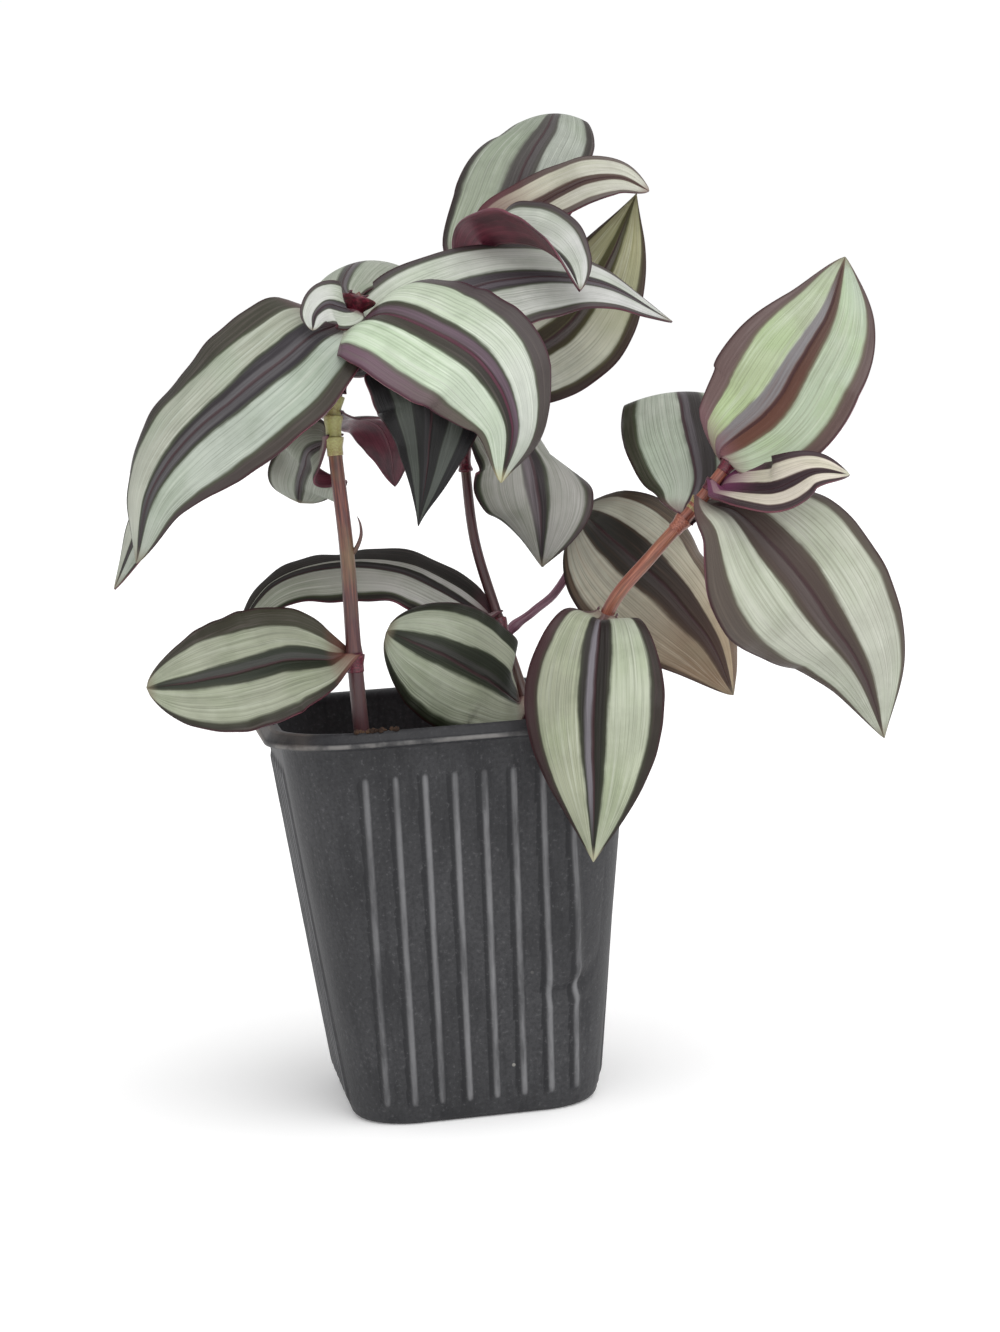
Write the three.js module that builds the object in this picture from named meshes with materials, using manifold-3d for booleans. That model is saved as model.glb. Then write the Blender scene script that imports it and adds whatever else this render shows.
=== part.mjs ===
// A potted tradescantia: a fluted square nursery pot, its soil, four shoots and their leaves.
// Millimetres, +Z up. The origin is the middle of the pot's underside. The front of the pot faces -Y.
import * as THREE from 'three';
import Module from 'manifold-3d';
import { mergeVertices } from 'three/addons/utils/BufferGeometryUtils.js';

const wasm = await Module();
wasm.setup();

// ---- driving dimensions -------------------------------------------------
const CLEARANCE = 0.35;

// Pot: a 9 cm square nursery pot with broad round corners and a flared lip.
const POT_HEIGHT = 95;
const RIM_HALF_WIDTH = 45;
const WALL_TOP_HALF_WIDTH = 41.2;
const WALL_BASE_HALF_WIDTH = 29.8;
const CORNER_RADIUS_TOP = 20;
const CORNER_RADIUS_BASE = 15;
const WALL_THICKNESS = 1.2;
const FLOOR_THICKNESS = 1.6;
const LIP_HEIGHT = 3.6;
const RIB_COUNTS = [8, 6, 8, 6];
const RIB_SPACING_TOP = 6.85;
const RIB_SPACING_BASE = 6.45;
const RIB_WIDTH = 2.6;
const RIB_HEIGHT = 0.7;
const RIB_BOTTOM = 5;
const RIB_TOP = 83.5;
const DRAIN_RADIUS = 3.4;
const DRAIN_OFFSET = 15;

// Soil: fills the pot to a little under the lip.
const SOIL_TOP = 84.5;
const SOIL_BOTTOM = FLOOR_THICKNESS + CLEARANCE;

// Leaves.
const BLADE_THICKNESS = 0.7;
const BLADE_STEPS_ACROSS = 6;
const BLADE_STEPS_ALONG = 12;
const SHEATH_WALL = 0.65;
const SHEATH_LENGTH = 2.4;
const TUBE_SIDES = 8;

// ---- the four shoots: points along the stem, radius at the soil and at the tip ------------
const STEMS = {
  stem_front: {
    points: [
      [-22, -27, 78], [-23, -27, 110], [-23, -26, 135], [-24, -24, 162], [-22, -23, 174],
      [-15.5, -20.5, 194],
    ],
    radius: [1.9, 1.5],
  },
  stem_middle: {
    points: [
      [22.5, -7, 78], [20.5, -5.5, 92], [18, -1, 104], [15.5, 5, 116.5], [12, 8, 133],
      [11, 9, 150], [11, 10, 168], [13, 11, 186], [19.5, 11.5, 208],
    ],
    radius: [1.35, 1.15],
  },
  stem_right: {
    points: [[30, -17, 78], [32, -26, 101], [36, -34, 118], [46, -38, 130], [56, -39, 140], [65.5, -39, 150.5]],
    radius: [1.8, 1.4],
  },
  stem_short: {
    points: [
      [15, 12, 78], [15.5, 12, 97], [19, 12, 109], [26, 12, 114.5], [32, 12, 119], [37, 12, 127],
      [39, 12, 139],
    ],
    radius: [1.2, 1.0],
  },
};

// ---- the leaves ----------------------------------------------------------
// at:    height on the stem where the leaf's sheath sits
// spine: points along the midrib after the root
// width: across the broadest part
// face:  directions the upper side looks in, from root to tip
// fold:  degrees each half is raised at the midrib, from root to tip
// curl:  degrees each half bends down between midrib and edge, from root to tip
// swell: exponents of the outline at the root and at the tip
const LEAVES = {
  front_leaf_1: {
    stem: 'stem_front', at: 111, width: 30,
    spine: [[-38, -30, 110], [-46, -35, 109], [-58, -36, 108], [-71, -35, 108]],
    face: [[0, -0.8, 0.6], [-0.3, -0.8, 0.5], [-0.2, -0.9, 0.4]],
    fold: [20, 5, 0], curl: [0, 5, 20], swell: [0.4, 0.7],
  },
  front_leaf_2: {
    stem: 'stem_front', at: 160, width: 22,
    spine: [[-29, -17, 158], [-30, -12, 154], [-31, -7, 150], [-31, -3, 146]],
    face: [[-0.2, -0.8, 0.5], [-0.2, -0.9, 0.4], [-0.2, -0.9, 0.3]],
    fold: [5, 0, 0], curl: [15, 25, 25], swell: [0.5, 0.4],
  },
  front_leaf_3: {
    stem: 'stem_front', at: 165, width: 18,
    spine: [[-17, -9, 164], [-12, 5, 161], [-9, 13, 156], [-10, 17, 150]],
    face: [[0.2, 0.2, 1], [0.3, 0.4, 0.9], [0.3, 0.9, 0.2]],
    fold: [20, 5, 0], curl: [20, 30, 30], swell: [0.7, 0.85],
  },
  front_leaf_4: {
    stem: 'stem_front', at: 169.5, width: 26,
    spine: [[-31, -6, 178], [-51, -2, 167], [-66, -6, 148], [-76, -10, 129]],
    face: [[-0.2, -0.4, 0.9], [-0.5, -0.5, 0.7], [-0.7, -0.5, 0.3]],
    fold: [15, 5, 0], curl: [20, 30, 30],
  },
  front_leaf_5: {
    stem: 'stem_front', at: 174, width: 27,
    spine: [[-11, -28, 178], [-3, -34, 169], [-4, -35, 155], [-7, -33, 140]],
    face: [[0.1, -0.2, 1], [0.3, -0.7, 0.6], [-0.3, -0.8, 0.5], [-0.3, -0.9, 0.2]],
    fold: [20, 5, 0], curl: [15, 25, 40], swell: [0.7, 1.3],
  },
  front_leaf_6: {
    stem: 'stem_front', at: 185.5, width: 40,
    spine: [[-11, -31, 188], [-1, -38, 183], [9, -43, 175], [14, -45, 162], [11, -43, 149]],
    face: [[0, -0.5, 0.8], [0.1, -0.7, 0.7], [0, -0.9, 0.4], [0.4, -0.9, 0.2]],
    fold: [25, 5, 0], curl: [55, 15, 50], swell: [0.6, 0.9],
  },
  front_leaf_7: {
    stem: 'stem_front', at: 178.5, width: 41,
    spine: [
      [-24, -29, 183], [-35, -31, 178], [-47, -33, 171.5], [-58.5, -34, 162.5], [-67, -34, 151],
      [-71, -32, 136],
    ],
    face: [[-0.1, -0.6, 0.8], [-0.2, -0.7, 0.7], [-0.4, -0.8, 0.5], [-0.7, -0.7, 0.3]],
    fold: [20, 0, 0], curl: [20, 20, 40], swell: [0.5, 0.9],
  },
  front_leaf_8: {
    stem: 'stem_front', at: 181.5, width: 31,
    spine: [[1, -15, 190], [21, -12, 195], [42, -12, 193], [60, -10, 183]],
    face: [[0, -0.5, 0.9], [0, -0.7, 0.7], [-0.1, -0.4, 0.9]],
    fold: [20, 5, 0], curl: [10, 20, 5], swell: [0.55, 0.9],
  },
  front_leaf_9: {
    stem: 'stem_front', at: 189, width: 24,
    spine: [[-18, -9, 198], [-13, 4, 204], [-8, 16, 203], [-2, 29, 196]],
    face: [[0, -0.2, 1], [-0.1, 0.1, 1], [0.1, 0.6, 0.7]],
    fold: [5, 0, 0], curl: [20, 45, 45], swell: [1, 0.85],
  },
  front_leaf_10: {
    stem: 'stem_front', at: 192.4, width: 9,
    spine: [[-21, -26, 192.5], [-25, -28.5, 192], [-27.5, -30, 190], [-28, -31, 187.5]],
    face: [[0, -0.6, 0.8], [-0.5, -0.5, 0.7], [-0.9, -0.3, 0.2]],
    fold: [60, 70, 60], curl: [20, 20, 20],
  },
  middle_leaf_1: {
    stem: 'stem_middle', at: 93, width: 32,
    spine: [[14, -12, 97.5], [9.5, -14, 101.5], [2.5, -16, 106], [-5, -17, 110.5], [-14, -17.5, 115]],
    face: [[0, -0.8, 0.6], [-0.2, -0.9, 0.4], [-0.2, -0.9, 0.4]],
    fold: [10, 5, 0], curl: [30, 35, 50], swell: [0.75, 0.6],
  },
  middle_leaf_2: {
    stem: 'stem_middle', at: 113, width: 28,
    spine: [[2.5, 2.5, 121.5], [-9, 1.5, 127.5], [-24, -1, 129.5], [-38.5, -3.5, 126.5], [-48.5, -5, 116]],
    face: [[0, -0.5, 0.9], [-0.1, -0.4, 0.9], [-0.4, -0.5, 0.8]],
    fold: [15, 5, 0], curl: [15, 30, 35], swell: [0.85, 0.9],
  },
  middle_leaf_3: {
    stem: 'stem_middle', at: 155, width: 31,
    spine: [[13, -1, 163], [23, -8, 155], [25, -12, 142], [25, -11, 127]],
    face: [[0, -0.6, 0.8], [0.4, -0.6, 0.7], [-0.8, -0.6, 0]],
    fold: [20, 5, 0], curl: [20, 55, 25], swell: [1.4, 1],
  },
  middle_leaf_4: {
    stem: 'stem_middle', at: 171, width: 31,
    spine: [[25, 12, 176], [40, 13, 185], [50, 12, 199], [58, 12, 215]],
    face: [[0, -1, 0.2], [-0.1, -0.9, 0.5], [-0.2, -0.8, 0.6]],
    fold: [10, 5, 0], curl: [15, 25, 35], swell: [0.75, 1.1],
  },
  middle_leaf_5: {
    stem: 'stem_middle', at: 195.4, width: 23,
    spine: [[19.5, -1.5, 206], [27.5, -12.5, 204.5], [32.5, -21, 198.5], [34.5, -28, 191]],
    face: [[0, -0.2, 1], [0.1, -0.3, 1], [0.5, -0.5, 0.7]],
    fold: [20, 50, 30], curl: [5, 5, 10], swell: [0.7, 0.85],
  },
  middle_leaf_6: {
    stem: 'stem_middle', at: 200.5, width: 29,
    spine: [[21, 19, 205], [29, 22, 214], [35, 26, 225], [41, 32, 233], [45, 43, 238], [47, 53, 231]],
    face: [[-0.5, -0.7, 0.5], [-0.4, -0.9, 0.3], [0, -0.4, 0.9], [0.1, 0.3, 0.9]],
    fold: [20, 10, 0, 0], curl: [20, 30, 30, 30], swell: [0.6, 0.95],
  },
  middle_leaf_7: {
    stem: 'stem_middle', at: 204.6, width: 17,
    spine: [
      [25, 14.5, 209], [32.5, 13.5, 212], [39, 11.5, 215], [45.5, 8.5, 218], [53, 6.5, 218.5],
      [59.5, 5, 215],
    ],
    face: [[-0.2, -0.5, 0.8], [-0.1, -0.5, 0.9], [0.4, -0.7, 0.5]],
    fold: [40, 35, 30], curl: [10, 15, 25], swell: [0.5, 0.7],
  },
  right_leaf_1: {
    stem: 'stem_right', at: 115, width: 32,
    spine: [[31, -46, 115], [27, -55, 100], [25, -60, 82], [24, -59, 64]],
    face: [[0, -0.7, 0.7], [-0.3, -0.9, 0.3], [-0.4, -0.9, 0]],
    fold: [20, 10, 5], curl: [0, 35, 45], swell: [0.95, 1.1],
  },
  right_leaf_2: {
    stem: 'stem_right', at: 136.8, width: 31,
    spine: [[59, -29, 146], [60, -17, 159], [62, -4, 166], [64, 9, 163], [66, 19, 155]],
    face: [[-0.4, -0.8, 0.6], [-0.3, -0.7, 0.8], [0, 0, 1], [0.1, 0.6, 0.8]],
    fold: [0, 0, 0, 0], curl: [15, 25, 25, 25], swell: [0.7, 0.85],
  },
  right_leaf_3: {
    stem: 'stem_right', at: 140.8, width: 38,
    spine: [[67, -46, 140], [77, -50, 128], [86, -49, 114], [93, -47, 100], [97, -44, 84]],
    face: [[0.3, -0.3, 0.9], [0, -0.9, 0.5], [-0.5, -0.9, 0.2], [-0.2, -1, 0]],
    fold: [20, 5, 0], curl: [30, 40, 40], swell: [0.6, 1.1],
  },
  right_leaf_4: {
    stem: 'stem_right', at: 144.7, width: 12,
    spine: [[70, -52.5, 143.5], [79, -57, 147], [87, -58, 146]],
    face: [[0, -0.5, 0.9], [0.1, -0.6, 0.8], [0.3, -0.6, 0.8]],
    fold: [60, 60, 50], curl: [10, 10, 10], swell: [0.65, 0.85],
  },
  right_leaf_5: {
    stem: 'stem_right', at: 149, width: 35,
    spine: [[62.5, -40, 152.5], [73.5, -43, 160.5], [82, -42.5, 172], [90, -40, 183], [95.5, -36, 195]],
    face: [[-0.4, -0.9, 0.3], [-0.3, -0.8, 0.5], [0, -0.9, 0.4]],
    fold: [10, 5, 0], curl: [5, 5, 30], swell: [0.55, 0.9],
  },
  short_leaf_1: {
    stem: 'stem_short', at: 136, width: 38,
    spine: [[40, 7, 136], [49, 3, 125], [58, 2, 116], [67, 1, 104], [73, 2, 91]],
    face: [[-0.2, -0.9, 0.5], [0.1, -0.8, 0.5], [0.3, -0.8, 0.5]],
    fold: [15, 5, 0], curl: [25, 45, 30], swell: [0.6, 0.9],
  },
};
const DEFAULT_SWELL = [0.5, 0.85];
const NECK_HALF_WIDTH = 1.4;
const NECK_REACH = 0.12;
const TIP_HALF_WIDTH = 0.35;

// ---- colours -------------------------------------------------------------
const POT_COLOR = 0x3a3a3d;
const SOIL_COLOR = 0x2a221d;
const STEM_COLOR = 0x7d4b40;
const LEAF_COLOR = 0x9fb394;

// ---- small vector helpers -------------------------------------------------
const vec = (p) => new THREE.Vector3(p[0], p[1], p[2]);

/** Value of a list of numbers read as a curve over 0..1. */
function along(list, t) {
  const x = Math.min(Math.max(t, 0), 1) * (list.length - 1);
  const i = Math.min(Math.floor(x), list.length - 2);
  return list[i] + (list[i + 1] - list[i]) * (x - i);
}

/** A smooth curve through the points, cut into `steps` equal lengths. */
function smoothPath(points, steps) {
  const given = points.map(vec);
  const last = given.length - 1;
  const before = given[0].clone().multiplyScalar(2).sub(given[1]);
  const after = given[last].clone().multiplyScalar(2).sub(given[last - 1]);
  const knots = [before, ...given, after];
  const fine = [];
  for (let i = 0; i < last; i += 1) {
    const [a, b, c, d] = knots.slice(i, i + 4);
    for (let k = 0; k < 24; k += 1) fine.push(catmullRom(a, b, c, d, k / 24));
  }
  fine.push(given[last]);
  const run = [0];
  for (let i = 1; i < fine.length; i += 1) run.push(run[i - 1] + fine[i].distanceTo(fine[i - 1]));
  const path = [];
  let k = 0;
  for (let i = 0; i <= steps; i += 1) {
    const want = (run[run.length - 1] * i) / steps;
    while (k < run.length - 2 && run[k + 1] < want) k += 1;
    const part = (want - run[k]) / (run[k + 1] - run[k]);
    path.push(fine[k].clone().lerp(fine[k + 1], Math.min(part, 1)));
  }
  return path;
}

function catmullRom(a, b, c, d, t) {
  const one = (axis) => {
    const m0 = (c[axis] - a[axis]) / 2;
    const m1 = (d[axis] - b[axis]) / 2;
    const cubic = 2 * b[axis] - 2 * c[axis] + m0 + m1;
    const square = -3 * b[axis] + 3 * c[axis] - 2 * m0 - m1;
    return b[axis] + m0 * t + square * t * t + cubic * t * t * t;
  };
  return new THREE.Vector3(one('x'), one('y'), one('z'));
}

function tangentAt(path, i) {
  const a = path[Math.max(i - 1, 0)];
  const b = path[Math.min(i + 1, path.length - 1)];
  return b.clone().sub(a).normalize();
}

// ---- solids ---------------------------------------------------------------
function toManifold(positions, triangles) {
  return new wasm.Manifold(new wasm.Mesh({
    numProp: 3,
    vertProperties: Float32Array.from(positions),
    triVerts: Uint32Array.from(triangles),
  }));
}

function toGeometry(solid) {
  const mesh = solid.getMesh();
  const geometry = new THREE.BufferGeometry();
  const stride = mesh.numProp;
  const positions = new Float32Array((mesh.vertProperties.length / stride) * 3);
  for (let i = 0; i < positions.length / 3; i += 1) {
    for (let k = 0; k < 3; k += 1) positions[i * 3 + k] = mesh.vertProperties[i * stride + k];
  }
  geometry.setAttribute('position', new THREE.BufferAttribute(positions, 3));
  geometry.setIndex(new THREE.BufferAttribute(Uint32Array.from(mesh.triVerts), 1));
  return mergeVertices(geometry, 1e-5);
}

/** A closed solid from rings of points stacked in order, all with the same count. */
function loft(rings) {
  const count = rings[0].length;
  const positions = [];
  const triangles = [];
  rings.forEach((ring) => ring.forEach((p) => positions.push(p.x, p.y, p.z)));
  for (let r = 0; r < rings.length - 1; r += 1) {
    for (let i = 0; i < count; i += 1) {
      const j = (i + 1) % count;
      const a = r * count + i;
      const b = r * count + j;
      triangles.push(a, b, b + count, a, b + count, a + count);
    }
  }
  [0, rings.length - 1].forEach((r) => {
    const centre = new THREE.Vector3();
    rings[r].forEach((p) => centre.addScaledVector(p, 1 / count));
    const hub = positions.length / 3;
    positions.push(centre.x, centre.y, centre.z);
    for (let i = 0; i < count; i += 1) {
      const a = r * count + i;
      const b = r * count + ((i + 1) % count);
      if (r === 0) triangles.push(hub, b, a);
      else triangles.push(hub, a, b);
    }
  });
  return toManifold(positions, triangles);
}

/** A round bar along a path; `radius` gives its size over 0..1. */
function bar(path, radius) {
  const rings = [];
  let side = new THREE.Vector3(1, 0, 0);
  path.forEach((p, i) => {
    const t = tangentAt(path, i);
    side = side.clone().addScaledVector(t, -side.dot(t)).normalize();
    const other = t.clone().cross(side);
    const size = radius(i / (path.length - 1));
    const ring = [];
    for (let k = 0; k < TUBE_SIDES; k += 1) {
      const angle = (2 * Math.PI * k) / TUBE_SIDES;
      ring.push(p.clone()
        .addScaledVector(side, size * Math.cos(angle))
        .addScaledVector(other, size * Math.sin(angle)));
    }
    rings.push(ring);
  });
  return loft(rings);
}

// ---- pot ------------------------------------------------------------------
/** A square with round corners at one height, `arc` points to a corner. */
function squareRing(halfWidth, cornerRadius, z, arc = 7) {
  const ring = [];
  const straight = halfWidth - cornerRadius;
  for (let side = 0; side < 4; side += 1) {
    const turn = (side * Math.PI) / 2;
    for (let k = 0; k < arc; k += 1) {
      const angle = (k / (arc - 1)) * (Math.PI / 2);
      const x = straight + cornerRadius * Math.sin(angle);
      const y = -straight - cornerRadius * Math.cos(angle);
      ring.push(turned(x, y, z, turn));
    }
  }
  return ring;
}

function turned(x, y, z, turn) {
  const c = Math.cos(turn);
  const s = Math.sin(turn);
  return new THREE.Vector3(x * c - y * s, x * s + y * c, z);
}

/** How far a round corner has fallen back from the flat of the side. */
function cornerDrop(across, straight, radius) {
  if (across <= straight) return 0;
  const over = across - straight;
  return radius - Math.sqrt(radius * radius - over * over);
}

/** How far round a corner the outermost rib of one side reaches, in radians. */
function lastRibAngle(count, spacing, straight, cornerRadius) {
  const reach = ((count - 1) / 2) * spacing + RIB_WIDTH / 2;
  return Math.asin(Math.max(reach - straight, 0) / cornerRadius);
}

/** Outline of the pot's outside at one height, with ribs raised by `ribHeight`. */
function potRing(halfWidth, cornerRadius, z, ribHeight) {
  const ring = [];
  const spacing = along([RIB_SPACING_BASE, RIB_SPACING_TOP], z / POT_HEIGHT);
  const straight = halfWidth - cornerRadius;
  for (let side = 0; side < 4; side += 1) {
    const turn = (side * Math.PI) / 2;
    const count = RIB_COUNTS[side];
    const put = (across, raise) => {
      const reach = halfWidth - cornerDrop(Math.abs(across), straight, cornerRadius);
      ring.push(turned(across, -reach - raise, z, turn));
    };
    for (let r = 0; r < count; r += 1) {
      const middle = (r - (count - 1) / 2) * spacing;
      put(middle - RIB_WIDTH / 2, 0);
      put(middle - RIB_WIDTH / 5, ribHeight);
      put(middle + RIB_WIDTH / 5, ribHeight);
      put(middle + RIB_WIDTH / 2, 0);
    }
    const startAngle = lastRibAngle(count, spacing, straight, cornerRadius);
    const endAngle = lastRibAngle(RIB_COUNTS[(side + 1) % 4], spacing, straight, cornerRadius);
    for (let k = 1; k < 7; k += 1) {
      const angle = startAngle + (k / 7) * (Math.PI / 2 - startAngle - endAngle);
      const x = straight + cornerRadius * Math.sin(angle);
      const y = -straight - cornerRadius * Math.cos(angle);
      ring.push(turned(x, y, z, turn));
    }
  }
  return ring;
}

const wallShare = (z) => z / (POT_HEIGHT - LIP_HEIGHT);
const wallHalf = (z) => along([WALL_BASE_HALF_WIDTH, WALL_TOP_HALF_WIDTH], wallShare(z));
const wallCorner = (z) => along([CORNER_RADIUS_BASE, CORNER_RADIUS_TOP], wallShare(z));

function buildPot() {
  const lipBottom = POT_HEIGHT - LIP_HEIGHT;
  const outsideAt = (z, grow, rib) => potRing(wallHalf(z) + grow, wallCorner(z) + grow, z, rib);
  const lipAt = (halfWidth, z) => potRing(halfWidth, CORNER_RADIUS_TOP + 2, z, 0);
  const outside = loft([
    outsideAt(0, -2, 0),
    outsideAt(1, -0.6, 0),
    outsideAt(RIB_BOTTOM - 2, 0, 0),
    outsideAt(RIB_BOTTOM + 1, 0, RIB_HEIGHT),
    outsideAt(RIB_TOP - 2, 0, RIB_HEIGHT),
    outsideAt(RIB_TOP, 0, 0),
    outsideAt(lipBottom - 1, 0, 0),
    lipAt(RIM_HALF_WIDTH, lipBottom),
    lipAt(RIM_HALF_WIDTH, POT_HEIGHT - 0.7),
    lipAt(RIM_HALF_WIDTH - 0.7, POT_HEIGHT),
  ]);
  const insideAt = (z, give) => {
    const inset = WALL_THICKNESS + give;
    return squareRing(wallHalf(z) - inset, wallCorner(z) - inset, z);
  };
  const inside = loft([
    insideAt(FLOOR_THICKNESS, 2),
    insideAt(FLOOR_THICKNESS + 2, 0),
    insideAt(lipBottom, 0),
    squareRing(WALL_TOP_HALF_WIDTH + 0.6, CORNER_RADIUS_TOP, POT_HEIGHT - 1.2),
    squareRing(WALL_TOP_HALF_WIDTH + 1.4, CORNER_RADIUS_TOP, POT_HEIGHT + 1),
  ]);
  let pot = outside.subtract(inside);
  [[1, 1], [1, -1], [-1, 1], [-1, -1]].forEach(([sx, sy]) => {
    const at = (z) => new THREE.Vector3(sx * DRAIN_OFFSET, sy * DRAIN_OFFSET, z);
    const plug = bar([at(-2), at(0), at(FLOOR_THICKNESS + 2)], () => DRAIN_RADIUS);
    pot = pot.subtract(plug);
  });
  return pot;
}

// ---- soil and stems --------------------------------------------------------
const STEM_STEPS = 16;
const stemPaths = {};
Object.entries(STEMS).forEach(([name, stem]) => {
  stemPaths[name] = smoothPath(stem.points, STEM_STEPS);
});

function buildSoil() {
  const insetAt = (z, give) => {
    const inset = WALL_THICKNESS + CLEARANCE + give;
    return squareRing(wallHalf(z) - inset, wallCorner(z) - inset, z);
  };
  let soil = loft([
    insetAt(SOIL_BOTTOM, 2),
    insetAt(SOIL_BOTTOM + 2, 0.1),
    insetAt(SOIL_TOP - 1, 0),
    insetAt(SOIL_TOP, 1),
  ]);
  Object.entries(STEMS).forEach(([name, stem]) => {
    const path = stemPaths[name];
    const down = tangentAt(path, 0).multiplyScalar(-CLEARANCE);
    const hole = [path[0].clone().add(down), ...path.slice(1, 4)];
    soil = soil.subtract(bar(hole, () => stem.radius[0] + CLEARANCE));
  });
  return soil;
}

function buildStem(name) {
  const [low, high] = STEMS[name].radius;
  return bar(stemPaths[name], (t) => low + (high - low) * t);
}

/** Where a stem passes a height: the point, its direction and its radius there. */
function stemAt(name, height) {
  const path = stemPaths[name];
  const [low, high] = STEMS[name].radius;
  let i = 0;
  while (i < path.length - 2 && path[i + 1].z < height) i += 1;
  const part = (height - path[i].z) / (path[i + 1].z - path[i].z);
  const point = path[i].clone().lerp(path[i + 1], part);
  const direction = path[i + 1].clone().sub(path[i]).normalize();
  const radius = low + ((high - low) * (i + part)) / (path.length - 1);
  return { point, direction, radius };
}

// ---- leaves ----------------------------------------------------------------
/** Half-width of a leaf over 0..1 of its length, as a share of the broadest part. */
function outline(t, [root, tip]) {
  const peak = root / (root + tip);
  const top = peak ** root * (1 - peak) ** tip;
  return (t ** root * (1 - t) ** tip) / top;
}

/** The middle surface of a leaf: rows from root to tip, each from edge to edge. */
function bladeRows(leaf, root) {
  const path = smoothPath([root, ...leaf.spine], BLADE_STEPS_ALONG);
  const swell = leaf.swell ?? DEFAULT_SWELL;
  return path.map((p, i) => {
    const t = i / BLADE_STEPS_ALONG;
    const forward = tangentAt(path, i);
    const face = new THREE.Vector3(
      along(leaf.face.map((f) => f[0]), t),
      along(leaf.face.map((f) => f[1]), t),
      along(leaf.face.map((f) => f[2]), t),
    );
    face.addScaledVector(forward, -face.dot(forward)).normalize();
    const across = forward.clone().cross(face);
    const fold = THREE.MathUtils.degToRad(along(leaf.fold, t));
    const curl = Math.max(THREE.MathUtils.degToRad(along(leaf.curl, t)), 1e-3);
    const neck = t < NECK_REACH ? NECK_HALF_WIDTH : TIP_HALF_WIDTH;
    const half = Math.max((leaf.width / 2) * outline(t, swell), neck);
    const row = [];
    for (let j = 0; j <= BLADE_STEPS_ACROSS; j += 1) {
      const u = (2 * j) / BLADE_STEPS_ACROSS - 1;
      const bend = fold - curl * Math.abs(u);
      const out = (Math.sin(fold) - Math.sin(bend)) / curl;
      const rise = (Math.cos(bend) - Math.cos(fold)) / curl;
      row.push(p.clone()
        .addScaledVector(across, half * Math.sign(u) * out)
        .addScaledVector(face, half * rise));
    }
    return row;
  });
}

/** A leaf surface made solid: the same triangles above and below, closed round the edge. */
function thicken(rows) {
  const high = rows.length;
  const wide = rows[0].length;
  const positions = [];
  const triangles = [];
  const clampRow = (i) => Math.min(Math.max(i, 0), high - 1);
  const clampCol = (j) => Math.min(Math.max(j, 0), wide - 1);
  [1, -1].forEach((side) => rows.forEach((row, i) => row.forEach((p, j) => {
    const lengthways = rows[clampRow(i + 1)][j].clone().sub(rows[clampRow(i - 1)][j]);
    const sideways = row[clampCol(j + 1)].clone().sub(row[clampCol(j - 1)]);
    const normal = sideways.cross(lengthways).normalize();
    const q = p.clone().addScaledVector(normal, (side * BLADE_THICKNESS) / 2);
    positions.push(q.x, q.y, q.z);
  })));
  const top = (i, j) => i * wide + j;
  const under = (i, j) => high * wide + i * wide + j;
  for (let i = 0; i < high - 1; i += 1) {
    for (let j = 0; j < wide - 1; j += 1) {
      triangles.push(top(i, j), top(i, j + 1), top(i + 1, j + 1));
      triangles.push(top(i, j), top(i + 1, j + 1), top(i + 1, j));
      triangles.push(under(i, j), under(i + 1, j + 1), under(i, j + 1));
      triangles.push(under(i, j), under(i + 1, j), under(i + 1, j + 1));
    }
  }
  const wall = (a, b, c, d) => triangles.push(a, b, c, a, c, d);
  for (let j = 0; j < wide - 1; j += 1) {
    wall(top(0, j), under(0, j), under(0, j + 1), top(0, j + 1));
    wall(top(high - 1, j + 1), under(high - 1, j + 1), under(high - 1, j), top(high - 1, j));
  }
  for (let i = 0; i < high - 1; i += 1) {
    wall(top(i + 1, 0), under(i + 1, 0), under(i, 0), top(i, 0));
    wall(top(i, wide - 1), under(i, wide - 1), under(i + 1, wide - 1), top(i + 1, wide - 1));
  }
  return toManifold(positions, triangles);
}

/** One leaf: its blade and the short sheath that clasps the stem. */
function buildLeaf(leaf) {
  const { point, direction, radius } = stemAt(leaf.stem, leaf.at);
  const inner = radius + CLEARANCE + 0.15;
  const outer = inner + SHEATH_WALL;
  const aim = vec(leaf.spine[0]).sub(point);
  aim.addScaledVector(direction, -aim.dot(direction)).normalize();
  const root = point.clone().addScaledVector(aim, inner + SHEATH_WALL / 2);
  const half = (reach) => [-reach, 0, reach].map((s) => point.clone().addScaledVector(direction, s));
  const sheath = bar(half(SHEATH_LENGTH / 2), () => outer);
  const bore = bar(half(SHEATH_LENGTH), () => inner);
  const blade = thicken(bladeRows(leaf, root.toArray()));
  return blade.add(sheath).subtract(bore);
}

// ---- the part --------------------------------------------------------------
const potted = new THREE.Group();
potted.name = 'potted_tradescantia';

function addNode(name, solid, color) {
  const material = new THREE.MeshStandardMaterial({ color, roughness: 0.6 });
  const mesh = new THREE.Mesh(toGeometry(solid), material);
  mesh.name = name;
  potted.add(mesh);
}

addNode('pot', buildPot(), POT_COLOR);
addNode('soil', buildSoil(), SOIL_COLOR);
Object.keys(STEMS).forEach((name) => addNode(name, buildStem(name), STEM_COLOR));
Object.entries(LEAVES).forEach(([name, leaf]) => addNode(name, buildLeaf(leaf), LEAF_COLOR));

export default potted;
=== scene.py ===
"""A potted tradescantia in its fluted nursery pot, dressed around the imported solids."""

import logging
import math
import random
from dataclasses import dataclass, field
from enum import Enum

import bmesh
import bpy
from mathutils import Matrix, Vector

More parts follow.
